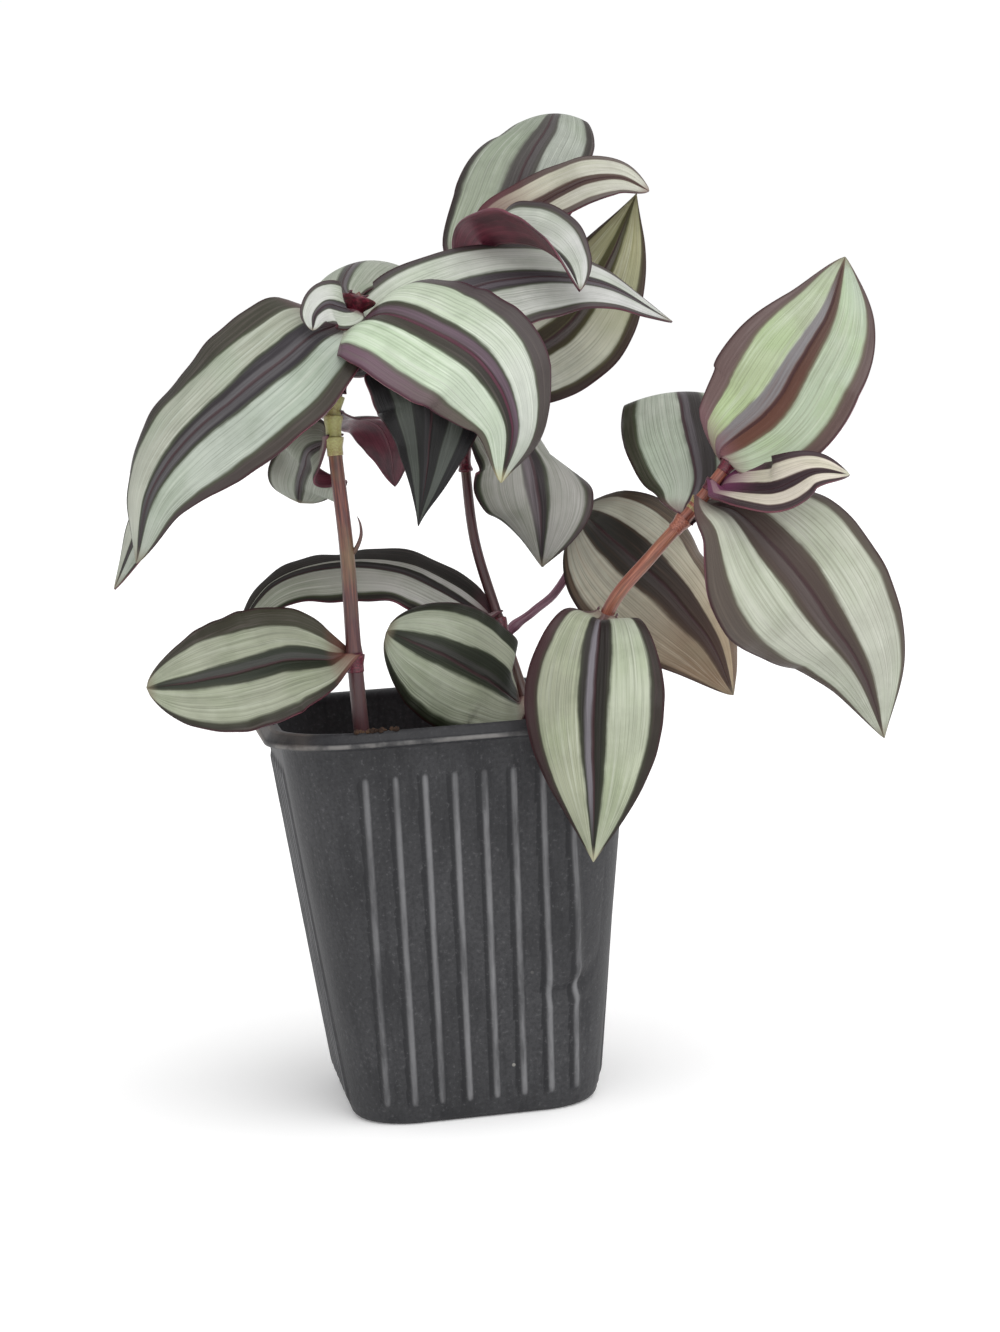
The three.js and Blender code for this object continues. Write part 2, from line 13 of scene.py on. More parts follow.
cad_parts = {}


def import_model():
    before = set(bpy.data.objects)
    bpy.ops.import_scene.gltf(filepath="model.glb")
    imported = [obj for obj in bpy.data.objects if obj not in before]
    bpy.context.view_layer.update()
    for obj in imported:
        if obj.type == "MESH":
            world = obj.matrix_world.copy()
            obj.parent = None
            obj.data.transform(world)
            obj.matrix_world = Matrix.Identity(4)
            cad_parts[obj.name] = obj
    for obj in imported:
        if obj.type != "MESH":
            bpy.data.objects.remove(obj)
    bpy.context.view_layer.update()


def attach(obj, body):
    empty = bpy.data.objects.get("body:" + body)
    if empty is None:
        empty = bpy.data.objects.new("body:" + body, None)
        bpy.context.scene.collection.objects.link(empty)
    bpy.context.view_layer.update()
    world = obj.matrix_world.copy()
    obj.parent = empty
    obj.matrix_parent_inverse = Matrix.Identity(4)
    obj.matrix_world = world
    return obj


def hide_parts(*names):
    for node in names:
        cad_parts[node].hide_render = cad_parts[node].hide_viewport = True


LOG = logging.getLogger("tradescantia")
MM = 0.001
SCREEN_GAMMA = 2.2
PHOTO_HEIGHT = 1332  # pixels
SENSOR = 36.0  # millimetres
WHITE = (1.0, 1.0, 1.0, 1.0)
ROUND_END = 1.0001  # just over 1, so that the last ring of a rounded end keeps a width


# ---------------------------------------------------------------- small maths
def clamp(value: float, low: float = 0.0, high: float = 1.0) -> float:
    """Keeps a value between two limits."""
    return min(max(value, low), high)


def ease(low: float, high: float, value: float) -> float:
    """Rises smoothly from 0 at low to 1 at high."""
    t = clamp((value - low) / (high - low))
    return t * t * (3 - 2 * t)


def along(values: tuple, t: float) -> float:
    """Reads a list of numbers as a curve over 0..1."""
    x = clamp(t) * (len(values) - 1)
    i = min(int(x), len(values) - 2)
    return values[i] + (values[i + 1] - values[i]) * (x - i)


def rgb(red: int, green: int, blue: int) -> tuple[float, float, float, float]:
    """Turns a screen colour into the linear colour that a shader takes."""
    return tuple((c / 255) ** SCREEN_GAMMA for c in (red, green, blue)) + (1.0,)


def quarter(count: int, first: int = 0) -> list[tuple[float, float, float]]:
    """Steps of a quarter turn: the share of the way, its sine and its cosine."""
    shares = [k / count for k in range(first, count + 1)]
    return [(s, math.sin(math.pi / 2 * s), math.cos(math.pi / 2 * s)) for s in shares]


def smooth_path(points: tuple, steps: int) -> list[Vector]:
    """Draws a smooth curve through points and cuts it into equal lengths.

    Args:
        points: points that the curve passes, in millimetres.
        steps: how many lengths to cut it into.

    Returns:
        steps + 1 points along the curve, in millimetres.
    """
    given = [Vector(p) for p in points]
    knots = [2 * given[0] - given[1], *given, 2 * given[-1] - given[-2]]
    fine: list[Vector] = []
    for a, b, c, d in zip(knots, knots[1:], knots[2:], knots[3:]):
        for k in range(24):
            t = k / 24
            start, end = (c - a) / 2, (d - b) / 2
            cubic = 2 * b - 2 * c + start + end
            square = -3 * b + 3 * c - 2 * start - end
            fine.append(b + start * t + square * t * t + cubic * t**3)
    fine.append(given[-1])
    run = [0.0]
    for a, b in zip(fine, fine[1:]):
        run.append(run[-1] + (b - a).length)
    path, k = [], 0
    for i in range(steps + 1):
        want = run[-1] * i / steps
        while k < len(run) - 2 and run[k + 1] < want:
            k += 1
        part = clamp((want - run[k]) / (run[k + 1] - run[k]))
        path.append(fine[k].lerp(fine[k + 1], part))
    return path


def path_length(path: list[Vector]) -> float:
    """Length of a path."""
    return sum((b - a).length for a, b in zip(path, path[1:]))


def heading(path: list[Vector], i: int) -> Vector:
    """The direction of a path at one of its points."""
    return (path[min(i + 1, len(path) - 1)] - path[max(i - 1, 0)]).normalized()


# ---------------------------------------------------------------- materials
class Bench:
    """A node tree on the bench: short calls that add and join shader nodes."""

    def __init__(self, name: str) -> None:
        """Starts a material that holds one Principled shader."""
        self.material = bpy.data.materials.new(name)
        self.material.use_nodes = True
        self.tree = self.material.node_tree
        self.tree.nodes.clear()
        output = self.tree.nodes.new("ShaderNodeOutputMaterial")
        self.shader = self.tree.nodes.new("ShaderNodeBsdfPrincipled")
        self.tree.links.new(self.shader.outputs[0], output.inputs[0])

    def join(self, source, target) -> None:
        """Feeds a socket from another socket, a screen colour of three whole numbers or a value."""
        if isinstance(source, bpy.types.NodeSocket):
            self.tree.links.new(source, target)
        elif isinstance(source, tuple) and len(source) == 3:
            target.default_value = rgb(*source)
        else:
            target.default_value = source

    def node(self, kind: str, *items, **settings):
        """A new node with its settings, and its first sockets fed in order."""
        node = self.tree.nodes.new(f"ShaderNode{kind}")
        for key, value in settings.items():
            setattr(node, key, value)
        for item, socket in zip(items, node.inputs):
            self.join(item, socket)
        return node

    def fixed(self, **values: float) -> None:
        """Sets sockets of the shader that are the same all over."""
        for key, value in values.items():
            self.shader.inputs[key.replace("_", " ")].default_value = value

    def coords(self):
        """The piece's own coordinates, in metres."""
        return self.node("TexCoord").outputs["Object"]

    def uv(self):
        """The place across and along a piece, from its UV map."""
        return self.split(self.node("UVMap", uv_map="UVMap").outputs[0])[:2]

    def split(self, vector):
        """The three numbers of a vector."""
        return tuple(self.node("SeparateXYZ", vector).outputs)

    def attribute(self, name: str):
        """A number that the mesh carries at each point."""
        return self.node("Attribute", attribute_name=name).outputs["Fac"]

    def math(self, operation: str, *values):
        """One arithmetic step on sockets or numbers."""
        return self.node("Math", *values, operation=operation).outputs[0]

    def times(self, first, *others):
        """Values multiplied together."""
        for other in others:
            first = self.math("MULTIPLY", first, other)
        return first

    def shifted(self, value, noise, reach: float):
        """A value moved to either side by noise, half of reach at most."""
        return self.math("MULTIPLY_ADD", self.math("SUBTRACT", noise, 0.5), reach, value)

    def vector(self, x, y, z):
        """A vector put together from three sockets or numbers."""
        return self.node("CombineXYZ", x, y, z).outputs[0]

    def noise(self, vector, scale: float, detail: float = 3.0, rough: float = 0.5,
              warp: float = 0.0):
        """Smooth noise from 0 to 1."""
        node = self.node("TexNoise", vector)
        named = {"Scale": scale, "Detail": detail, "Roughness": rough, "Distortion": warp}
        for name, value in named.items():
            node.inputs[name].default_value = value
        return node.outputs["Fac"]

    def drawn_out(self, x, y, z, detail: float = 3.0, rough: float = 0.5):
        """Noise over three numbers that are stretched beforehand, each by its own amount."""
        return self.noise(self.vector(x, y, z), 1.0, detail, rough)

    def cells(self, vector, scale: float):
        """Distance to the nearest of many scattered points."""
        node = self.node("TexVoronoi", vector)
        node.inputs["Scale"].default_value = scale
        return node.outputs["Distance"]

    def spread(self, value, low: float, high: float, to_low: float = 0.0, to_high: float = 1.0):
        """Maps a range smoothly to another range and stops at its ends."""
        return self.node("MapRange", value, low, high, to_low, to_high,
                         interpolation_type="SMOOTHSTEP").outputs[0]

    def mix(self, share, first, second, blend: str = "MIX"):
        """Blends two colours."""
        node = self.node("Mix", share, data_type="RGBA", blend_type=blend)
        self.join(first, node.inputs[6])
        self.join(second, node.inputs[7])
        return node.outputs[2]

    def tint(self, colour, paint, share, strength: float):
        """Lays a second colour over the first where share says so, up to a strength."""
        return self.mix(self.times(share, strength), colour, paint)

    def bump(self, *layers: tuple) -> None:
        """Raises the surface: layers are (height socket, strength, depth in metres)."""
        below = None
        for height, strength, depth in layers:
            node = self.node("Bump")
            node.inputs["Strength"].default_value = strength
            node.inputs["Distance"].default_value = depth
            self.join(height, node.inputs["Height"])
            if below is not None:
                self.tree.links.new(below, node.inputs["Normal"])
            below = node.outputs[0]
        self.tree.links.new(below, self.shader.inputs["Normal"])

    def finish(self, colour, roughness) -> bpy.types.Material:
        """Feeds colour and roughness to the shader and hands over the material."""
        self.join(colour, self.shader.inputs["Base Color"])
        self.join(roughness, self.shader.inputs["Roughness"])
        return self.material


@dataclass(frozen=True)
class LeafFinish:
    """The striped upper side of a leaf.

    Two pale strips lie between a dark middle band and two dark margins. Places across the
    leaf run from -1 at its left edge over 0 at the midrib to 1 at its right edge, as seen
    from its root. A pair of colours or widths holds the value at the root and at the tip.
    The right half is like the left one where it has no values of its own. Colours are
    screen colours.
    """

    name: str
    left: tuple = ((172, 188, 164), (184, 194, 178))
    right: tuple | None = None
    streak: tuple = (206, 214, 204)
    green: tuple = (146, 168, 134)
    fringe: tuple = (70, 78, 58)
    band: tuple = ((52, 46, 46), (56, 50, 50))
    band_streak: tuple = (88, 82, 84)
    sheen: tuple = (112, 106, 112)
    sheen_span: tuple = (0.0, 0.13)
    sheen_share: float = 0.4
    margin_left: tuple = ((62, 55, 53), (62, 55, 53))
    margin_right: tuple | None = None
    margin_streak: tuple = (94, 86, 82)
    edge: tuple = (58, 34, 38)
    rib: tuple = (58, 36, 40)
    root: tuple = (112, 74, 82)
    root_reach: float = 0.12
    tip: tuple = (116, 106, 88)
    band_left: tuple = (0.27, 0.17)
    band_right: tuple | None = None
    start_left: tuple = (0.8, 0.8)
    start_right: tuple | None = None
    roughness: float = 0.4

    def build(self) -> bpy.types.Material:
        """Makes the material.

        Returns:
            The finished material.
        """
        b = Bench(f"leaf_{self.name}")
        u, v = b.uv()
        where = b.coords()
        x, _, z = b.split(where)
        own = b.math("ADD", b.times(x, 21.0), b.times(z, 27.0))
        plain = b.math("MULTIPLY_ADD", u, 2.0, -1.0)
        drift = b.drawn_out(b.times(plain, 1.2), b.times(v, 4.0), own)
        streak = b.drawn_out(b.times(u, 34.0), b.times(v, 2.2), own, 4.0, 0.55)
        veins = b.drawn_out(b.times(u, 100.0), b.times(v, 1.6), own, 2.0)
        cloud = b.noise(where, 95.0, 4.0, 0.6)
        side = b.shifted(plain, drift, 0.09)
        right = b.spread(side, -0.03, 0.03)
        late = b.spread(v, 0.12, 0.88)

        def halves(left_pair: tuple, right_pair: tuple | None):
            """A colour that turns from root to tip, with a pair of its own for each half."""
            return b.mix(right, b.mix(late, *left_pair), b.mix(late, *(right_pair or left_pair)))

        def widths(end: float, left_pair: tuple, right_pair: tuple | None):
            """A width that turns from root to tip in the same way."""
            first = b.spread(v, 0.05, end, *left_pair)
            second = b.spread(v, 0.05, end, *(right_pair or left_pair))
            return b.math("MULTIPLY_ADD", right, b.math("SUBTRACT", second, first), first)

        out = b.math("ABSOLUTE", side)
        place = b.shifted(b.shifted(out, streak, 0.06), cloud, 0.05)
        inner = widths(1.0, self.band_left, self.band_right)
        outer = widths(0.95, self.start_left, self.start_right)
        within = b.math("DIVIDE", b.math("SUBTRACT", place, inner), b.math("SUBTRACT", outer, inner))
        pale = b.times(b.spread(within, -0.06, 0.05), b.spread(within, 1.06, 0.95))
        near = b.times(b.spread(within, -0.16, -0.02), b.spread(within, 1.16, 1.02))
        outside = b.spread(within, 0.45, 0.55)
        dark = b.mix(outside, b.mix(late, *self.band), halves(self.margin_left, self.margin_right))
        faint = b.mix(outside, self.band_streak, self.margin_streak)
        dark = b.tint(dark, faint, b.spread(streak, 0.48, 0.74), 0.45)
        dark = b.tint(dark, self.fringe, near, 0.6)
        first, last = self.sheen_span
        soft = 0.025
        strip = b.times(b.spread(side, first - soft, first + soft),
                        b.spread(side, last + soft, last - soft),
                        b.spread(v, 0.98, 0.75), b.spread(streak, 0.25, 0.6, 0.5, 1.0))
        dark = b.tint(dark, self.sheen, strip, self.sheen_share)
        groove = b.times(b.spread(out, 0.04, 0.01), b.spread(v, 1.0, 0.8))
        dark = b.tint(dark, self.rib, groove, 0.75)
        light = b.tint(halves(self.left, self.right), self.green, b.spread(drift, 0.4, 0.7), 0.45)
        light = b.tint(light, self.streak, b.spread(streak, 0.45, 0.72), 0.5)
        light = b.tint(light, self.fringe, b.spread(cloud, 0.6, 0.36), 0.16)
        light = b.tint(light, self.fringe, b.spread(veins, 0.5, 0.34), 0.2)
        colour = b.mix(pale, dark, light)
        colour = b.tint(colour, self.edge, b.spread(b.math("ABSOLUTE", plain), 0.955, 0.99), 0.8)
        colour = b.tint(colour, self.root, b.spread(v, self.root_reach, 0.0), 0.85)
        colour = b.tint(colour, self.tip, b.spread(v, 0.94, 1.0), 0.7)
        tone = b.math("MULTIPLY_ADD", b.spread(veins, 0.35, 0.65), 0.1, 0.95)
        colour = b.mix(1.0, colour, b.vector(tone, tone, tone), "MULTIPLY")
        rough = b.math("ADD", b.math("MULTIPLY_ADD", pale, 0.05, self.roughness), b.times(cloud, 0.1))
        b.bump((veins, 0.4, 0.0003), (streak, 0.3, 0.0005), (b.spread(out, 0.0, 0.05), 0.5, 0.0005),
               (b.noise(where, 1500.0, 2.0, 0.6), 0.1, 0.0001))
        b.fixed(Specular_IOR_Level=0.25)
        return b.finish(colour, rough)


@dataclass(frozen=True)
class UndersideFinish:
    """The purple underside of a leaf."""

    name: str = "leaf_underside"
    deep: tuple = (64, 28, 40)
    light: tuple = (112, 54, 68)
    rib: tuple = (128, 84, 92)

    def build(self) -> bpy.types.Material:
        """Makes the material."""
        b = Bench(self.name)
        u, v = b.uv()
        out = b.math("ABSOLUTE", b.math("MULTIPLY_ADD", u, 2.0, -1.0))
        veins = b.drawn_out(b.times(u, 90.0), b.times(v, 1.8), 2.2)
        drift = b.drawn_out(b.times(u, 5.0), b.times(v, 5.0), 4.2)
        rib = b.spread(out, 0.06, 0.02)
        colour = b.mix(b.spread(drift, 0.3, 0.7), self.deep, self.light)
        colour = b.tint(colour, self.deep, b.spread(veins, 0.4, 0.6), 0.45)
        colour = b.tint(colour, self.rib, rib, 0.5)
        b.bump((veins, 0.4, 0.0003), (rib, 0.8, 0.0006))
        b.fixed(Specular_IOR_Level=0.5, Coat_Weight=0.15, Coat_Roughness=0.3)
        return b.finish(colour, b.math("MULTIPLY_ADD", drift, 0.15, 0.33))


@dataclass(frozen=True)
class StemFinish:
    """A fleshy stem, streaked lengthways, paler where a leaf joins it."""

    name: str
    base: tuple = (112, 64, 54)
    dark: tuple = (70, 37, 40)
    light: tuple = (154, 100, 80)
    green: tuple = (150, 146, 96)
    foot: tuple = (62, 34, 40)
    foot_reach: float = 0.0
    greenness: float = 0.35

    def build(self) -> bpy.types.Material:
        """Makes the material."""
        b = Bench(self.name)
        u, v = b.uv()
        where = b.coords()
        turn = b.times(u, 2 * math.pi)
        ring_x, ring_y = (b.times(b.math(wave, turn), 2.4) for wave in ("COSINE", "SINE"))
        streak = b.noise(b.vector(ring_x, ring_y, b.times(v, 7.0)), 1.6, 4.0, 0.6)
        patch = b.noise(where, 55.0, 3.0, 0.55)
        fine = b.noise(where, 1400.0, 2.0)
        colour = b.mix(b.spread(streak, 0.35, 0.68), self.dark, self.base)
        colour = b.tint(colour, self.light, b.spread(streak, 0.55, 0.75), 0.6)
        colour = b.tint(colour, self.green, b.spread(patch, 0.45, 0.75), self.greenness)
        if self.foot_reach:
            low = b.spread(v, self.foot_reach, self.foot_reach * 0.3)
            colour = b.tint(colour, self.foot, low, 0.85)
        b.bump((streak, 0.3, 0.0003), (fine, 0.15, 0.0001))
        b.fixed(Specular_IOR_Level=0.5, Coat_Weight=0.2, Coat_Roughness=0.25)
        return b.finish(colour, b.math("MULTIPLY_ADD", patch, 0.18, 0.3))


@dataclass(frozen=True)
class PotFinish:
    """Thin charcoal plastic, a little dusty: painted highlights on the rib crests, painted shade on their
    left flanks and around the lip, and a lip bead pale from wear and a painted highlight.
    """

    name: str = "pot_plastic"
    base: tuple = (45, 45, 47)
    pale: tuple = (58, 58, 60)
    # dark streaks and grain, and also the colour of the painted shade on rib flanks and around the lip
    dark: tuple = (30, 30, 33)
    # pale grey of the painted rib highlights, and of worn flecks
    rib_highlight_and_wear: tuple = (124, 124, 126)
    # pale line of the lip's bead: wear and painted highlight
    bead_wear_and_highlight: tuple = (116, 114, 112)
    dust: tuple = (128, 118, 108)
    speck: tuple = (150, 148, 142)

    def build(self) -> bpy.types.Material:
        """Makes the material."""
        b = Bench(self.name)
        where = b.coords()
        x, y, z = b.split(where)
        ridge, flank, lip = (b.attribute(name) for name in ("ridge", "flank", "lip"))
        cloud = b.noise(where, 38.0)
        grain = b.noise(where, 1100.0, 3.0, 0.6)
        run = b.drawn_out(b.times(x, 260.0), b.times(y, 260.0), b.times(z, 22.0), 4.0, 0.65)
        colour = b.mix(b.spread(cloud, 0.3, 0.7), self.base, self.pale)
        colour = b.tint(colour, self.pale, b.spread(run, 0.4, 0.7), 0.45)
        colour = b.tint(colour, self.dark, b.spread(run, 0.5, 0.3), 0.5)
        colour = b.tint(colour, self.dark, b.spread(grain, 0.52, 0.38), 0.35)
        # painted shade: the left flank of each rib is darkened
        colour = b.tint(colour, self.dark, b.spread(flank, -0.15, -0.8), 0.75)
        # painted highlight: a pale line along each rib's crest, broken up by noise, fainter on the rib's
        # left flank and on the left half of the pot
        rib_highlight = b.times(b.spread(ridge, 0.5, 0.98), b.spread(run, 0.32, 0.62, 0.3, 1.0),
                        b.spread(flank, -0.7, 0.1, 0.5, 1.0), b.spread(x, -0.026, 0.0, 0.7, 1.0))
        colour = b.tint(colour, self.rib_highlight_and_wear, rib_highlight, 0.8)
        # pale worn flecks in the same colour
        colour = b.tint(colour, self.rib_highlight_and_wear, b.spread(grain, 0.58, 0.72), 0.16)
        # a patchy pale line along the lip's bead, partly wear and partly a painted highlight
        patchy = b.spread(b.noise(where, 160.0, 3.0, 0.6), 0.38, 0.64, 0.12, 1.0)
        colour = b.tint(colour, self.bead_wear_and_highlight, b.times(b.spread(lip, 0.6, 1.0), patchy), 0.85)
        # painted shade: the flare beneath the bead, the rim's top and its inside are darkened
        below = b.times(b.spread(lip, 0.02, 0.2), b.spread(lip, 0.6, 0.5))
        colour = b.tint(colour, self.dark, below, 0.5)
        soiled = b.times(b.spread(cloud, 0.5, 0.66), b.spread(lip, 0.1, 0.5))
        colour = b.tint(colour, self.dust, soiled, 0.5)
        specks = b.times(b.spread(b.cells(where, 130.0), 0.07, 0.045),
                         b.spread(b.noise(where, 70.0, 1.0), 0.6, 0.66))
        colour = b.tint(colour, self.speck, specks, 0.7)
        rough = b.math("ADD", b.math("MULTIPLY_ADD", cloud, 0.14, 0.44), b.times(grain, 0.1))
        b.bump((grain, 0.4, 0.0003), (cloud, 0.2, 0.001), (run, 0.3, 0.0004))
        b.fixed(Specular_IOR_Level=0.3)
        return b.finish(colour, rough)


@dataclass(frozen=True)
class SoilFinish:
    """Dark, crumbly peat."""

    name: str = "peat"
    dark: tuple = (34, 27, 23)
    mid: tuple = (62, 48, 39)
    light: tuple = (112, 88, 68)

    def build(self) -> bpy.types.Material:
        """Makes the material."""
        b = Bench(self.name)
        where = b.coords()
        lump = b.noise(where, 240.0, 5.0, 0.65)
        fibre = b.noise(where, 900.0, 4.0, 0.7, 1.5)
        colour = b.mix(b.spread(lump, 0.35, 0.7), self.dark, self.mid)
        colour = b.tint(colour, self.light, b.spread(fibre, 0.6, 0.75), 0.7)
        b.bump((lump, 0.9, 0.002), (fibre, 0.7, 0.0006))
        b.fixed(Specular_IOR_Level=0.25)
        return b.finish(colour, 0.92)


class LeafColour(Enum):
    """The colourings that the leaves of this plant have; one of them is a silver leaf darkened as painted
    shade.
    """

    SILVER = LeafFinish(
        "silver", left=((158, 167, 156), (164, 170, 160)), right=((150, 153, 138), (166, 168, 156)),
        streak=(186, 192, 180), green=(140, 154, 134), band=((46, 42, 46), (46, 42, 42)),
        band_streak=(78, 76, 80), sheen=(94, 92, 94), sheen_span=(-0.13, 0.1), sheen_share=0.6,
        margin_left=((62, 58, 52), (64, 56, 56)), margin_right=((58, 57, 48), (50, 46, 44)),
        start_left=(0.76, 0.8), start_right=(0.6, 0.88))
    MINT = LeafFinish(
        "mint", left=((180, 189, 170), (176, 180, 172)), right=((174, 190, 164), (184, 194, 178)),
        streak=(208, 214, 202), green=(164, 182, 152), band=((52, 48, 40), (42, 38, 36)),
        band_streak=(92, 84, 80), sheen=(104, 84, 98), sheen_span=(-0.16, -0.04), sheen_share=0.7,
        margin_left=((66, 58, 60), (70, 64, 62)), margin_right=((98, 76, 88), (84, 80, 70)),
        edge=(74, 42, 54), rib=(84, 40, 58), tip=(184, 176, 136), start_left=(0.74, 0.62),
        start_right=(0.76, 0.74))
    PALE = LeafFinish(
        "pale", left=((178, 184, 170), (190, 190, 188)), streak=(206, 208, 202), green=(162, 174, 152),
        band=((70, 66, 70), (52, 44, 48)), margin_left=((66, 60, 60), (70, 62, 64)), start_left=(0.84, 0.8))
    GREY = LeafFinish(
        "grey", left=((146, 151, 138), (152, 156, 146)), streak=(178, 182, 170), green=(130, 142, 122),
        band=((66, 62, 60), (58, 54, 54)), band_left=(0.22, 0.14), start_left=(0.86, 0.88))
    ASH = LeafFinish(
        "ash", left=((136, 139, 128), (152, 151, 146)), right=((140, 142, 132), (156, 155, 150)),
        streak=(182, 180, 176), green=(122, 128, 110), band=((46, 40, 42), (44, 38, 40)),
        sheen=(112, 104, 108), sheen_span=(-0.02, 0.2), sheen_share=0.8,
        margin_left=((62, 56, 54), (66, 58, 58)), margin_right=((34, 32, 32), (36, 33, 33)),
        start_left=(0.8, 0.82), start_right=(0.84, 0.88))
    # a silver leaf darkened all over as painted shade, for the leaf that hangs beneath front_leaf_6
    SILVER_IN_PAINTED_SHADE = LeafFinish(
        "silver_in_painted_shade", left=((82, 86, 80), (74, 78, 74)), streak=(100, 104, 98), green=(66, 72, 64),
        fringe=(46, 49, 42), band=((36, 36, 35), (34, 34, 34)), band_streak=(48, 48, 48), sheen_share=0.1,
        margin_left=((36, 35, 36), (32, 32, 33)), margin_streak=(50, 50, 51), tip=(44, 40, 42),
        band_left=(0.4, 0.3), start_left=(0.64, 0.66))
    OLIVE = LeafFinish(
        "olive", left=((210, 214, 202), (146, 144, 108)), streak=(198, 198, 178), green=(144, 148, 112),
        fringe=(80, 80, 52), band=((58, 50, 44), (70, 68, 42)), band_streak=(92, 88, 62),
        margin_left=((54, 42, 38), (60, 50, 38)), tip=(92, 84, 58), band_left=(0.26, 0.2),
        start_left=(0.8, 0.82))
    PEWTER = LeafFinish(
        "pewter", left=((142, 150, 132), (134, 141, 128)), right=((150, 155, 146), (148, 153, 144)),
        streak=(176, 181, 170), green=(122, 134, 112), fringe=(70, 70, 62),
        band=((62, 58, 57), (66, 63, 60)), band_streak=(88, 84, 82), sheen_share=0.15,
        margin_left=((48, 43, 41), (46, 42, 40)), root=(96, 46, 64), start_left=(0.85, 0.88),
        start_right=(0.85, 0.78))
    # its dark red root, reaching half the blade, is the leaf's purple base darkened further as painted
    # shade
    BLUSH = LeafFinish(
        "blush", left=((174, 168, 148), (186, 186, 174)), streak=(204, 203, 194), green=(158, 160, 138),
        fringe=(92, 80, 70), band=((66, 48, 44), (72, 54, 48)), sheen_share=0.1,
        margin_left=((74, 54, 52), (96, 88, 84)), root=(84, 30, 44), root_reach=0.5, tip=(120, 96, 88),
        start_left=(0.76, 0.8))
    FRESH = LeafFinish(
        "fresh", left=((162, 178, 136), (160, 168, 146)), right=((162, 175, 150), (162, 174, 156)),
        streak=(186, 195, 174), green=(144, 166, 116), fringe=(98, 94, 76),
        band=((92, 60, 50), (78, 58, 52)), band_streak=(106, 84, 76), sheen=(120, 118, 120),
        sheen_span=(-0.26, -0.04), sheen_share=0.9, margin_left=((98, 80, 78), (90, 76, 74)),
        margin_right=((92, 74, 70), (82, 68, 66)), margin_streak=(122, 108, 106), edge=(66, 44, 46),
        root=(120, 84, 92), root_reach=0.16, start_left=(0.66, 0.76), start_right=(0.78, 0.8))
    TAWNY = LeafFinish(
        "tawny", left=((170, 173, 158), (172, 175, 162)), streak=(194, 196, 184), green=(150, 160, 136),
        fringe=(80, 76, 62), band=((70, 59, 54), (68, 58, 54)), band_streak=(92, 82, 76), sheen_share=0.15,
        margin_left=((76, 68, 62), (78, 70, 64)), margin_streak=(102, 92, 84), root=(90, 60, 64),
        start_left=(0.83, 0.86), start_right=(0.7, 0.82))
    CREAM = LeafFinish(
        "cream", left=((190, 184, 168), (206, 198, 184)), streak=(218, 210, 198), green=(166, 166, 138),
        fringe=(90, 72, 66), band=((46, 32, 38), (50, 36, 40)), band_streak=(72, 54, 60), sheen_share=0.1,
        margin_left=((48, 36, 40), (56, 42, 46)), root=(102, 54, 82), root_reach=0.4, tip=(196, 200, 178),
        band_left=(0.3, 0.2), start_left=(0.68, 0.74))
    MOSS = LeafFinish(
        "moss", left=((166, 174, 160), (174, 180, 168)), right=((150, 158, 144), (160, 166, 154)),
        streak=(192, 196, 184), green=(148, 162, 140), band=((48, 43, 42), (44, 40, 39)),
        margin_left=((50, 52, 40), (54, 54, 42)), margin_right=((58, 50, 48), (58, 50, 48)),
        band_left=(0.05, 0.05), band_right=(0.42, 0.36), start_left=(0.74, 0.7), start_right=(0.86, 0.86))
    BRONZE = LeafFinish(
        "bronze", left=((196, 200, 182), (160, 142, 116)), right=((182, 184, 168), (128, 106, 84)),
        streak=(190, 180, 160), green=(136, 130, 110), fringe=(76, 62, 50),
        band=((42, 41, 36), (62, 44, 36)), band_streak=(82, 66, 56), sheen_share=0.1,
        margin_left=((72, 64, 54), (100, 80, 62)), margin_right=((60, 54, 46), (74, 58, 48)),
        margin_streak=(122, 102, 84), root=(84, 84, 76), band_left=(0.32, 0.22), start_left=(0.76, 0.5),
        start_right=(0.86, 0.88))
    FERN = LeafFinish(
        "fern", left=((152, 156, 138), (158, 165, 146)), streak=(180, 184, 168), green=(130, 140, 114),
        fringe=(56, 62, 46), band=((32, 37, 26), (36, 40, 30)), band_streak=(54, 58, 46), sheen_share=0.15,
        margin_left=((38, 42, 31), (38, 40, 31)), margin_streak=(58, 62, 50), root=(136, 104, 100),
        band_left=(0.12, 0.2), band_right=(0.44, 0.22), start_right=(0.72, 0.78))
    LAUREL = LeafFinish(
        "laurel", left=((138, 142, 124), (146, 150, 132)), streak=(170, 174, 158), green=(120, 130, 104),
        fringe=(58, 60, 46), band=((36, 41, 31), (38, 42, 33)), band_streak=(58, 60, 50), sheen_share=0.15,
        margin_left=((48, 46, 39), (46, 44, 38)), margin_right=((56, 55, 43), (50, 48, 40)),
        root=(112, 70, 62), start_left=(0.8, 0.84), start_right=(0.6, 0.74))
    ARCH = LeafFinish(
        "arch", left=((186, 184, 182), (150, 154, 140)), streak=(200, 200, 192), green=(140, 148, 130),
        band=((38, 36, 34), (38, 38, 33)), sheen_share=0.1, margin_left=((38, 35, 33), (42, 40, 35)),
        margin_right=((40, 38, 35), (42, 40, 36)), band_left=(0.06, 0.06), band_right=(0.2, 0.2),
        start_left=(0.76, 0.84), start_right=(0.4, 0.21), roughness=0.8)
    HEART = LeafFinish(
        "heart", left=((168, 174, 156), (160, 166, 144)), right=((146, 149, 130), (148, 152, 130)),
        streak=(184, 188, 172), green=(132, 144, 112), fringe=(54, 58, 42),
        band=((36, 31, 29), (32, 33, 26)), band_streak=(52, 46, 44), sheen=(112, 108, 114),
        sheen_span=(0.01, 0.12), sheen_share=0.85, margin_left=((46, 38, 35), (42, 38, 32)),
        margin_right=((58, 38, 40), (48, 36, 35)), margin_streak=(66, 52, 52), root=(116, 92, 88),
        tip=(176, 170, 142), start_right=(0.78, 0.78))


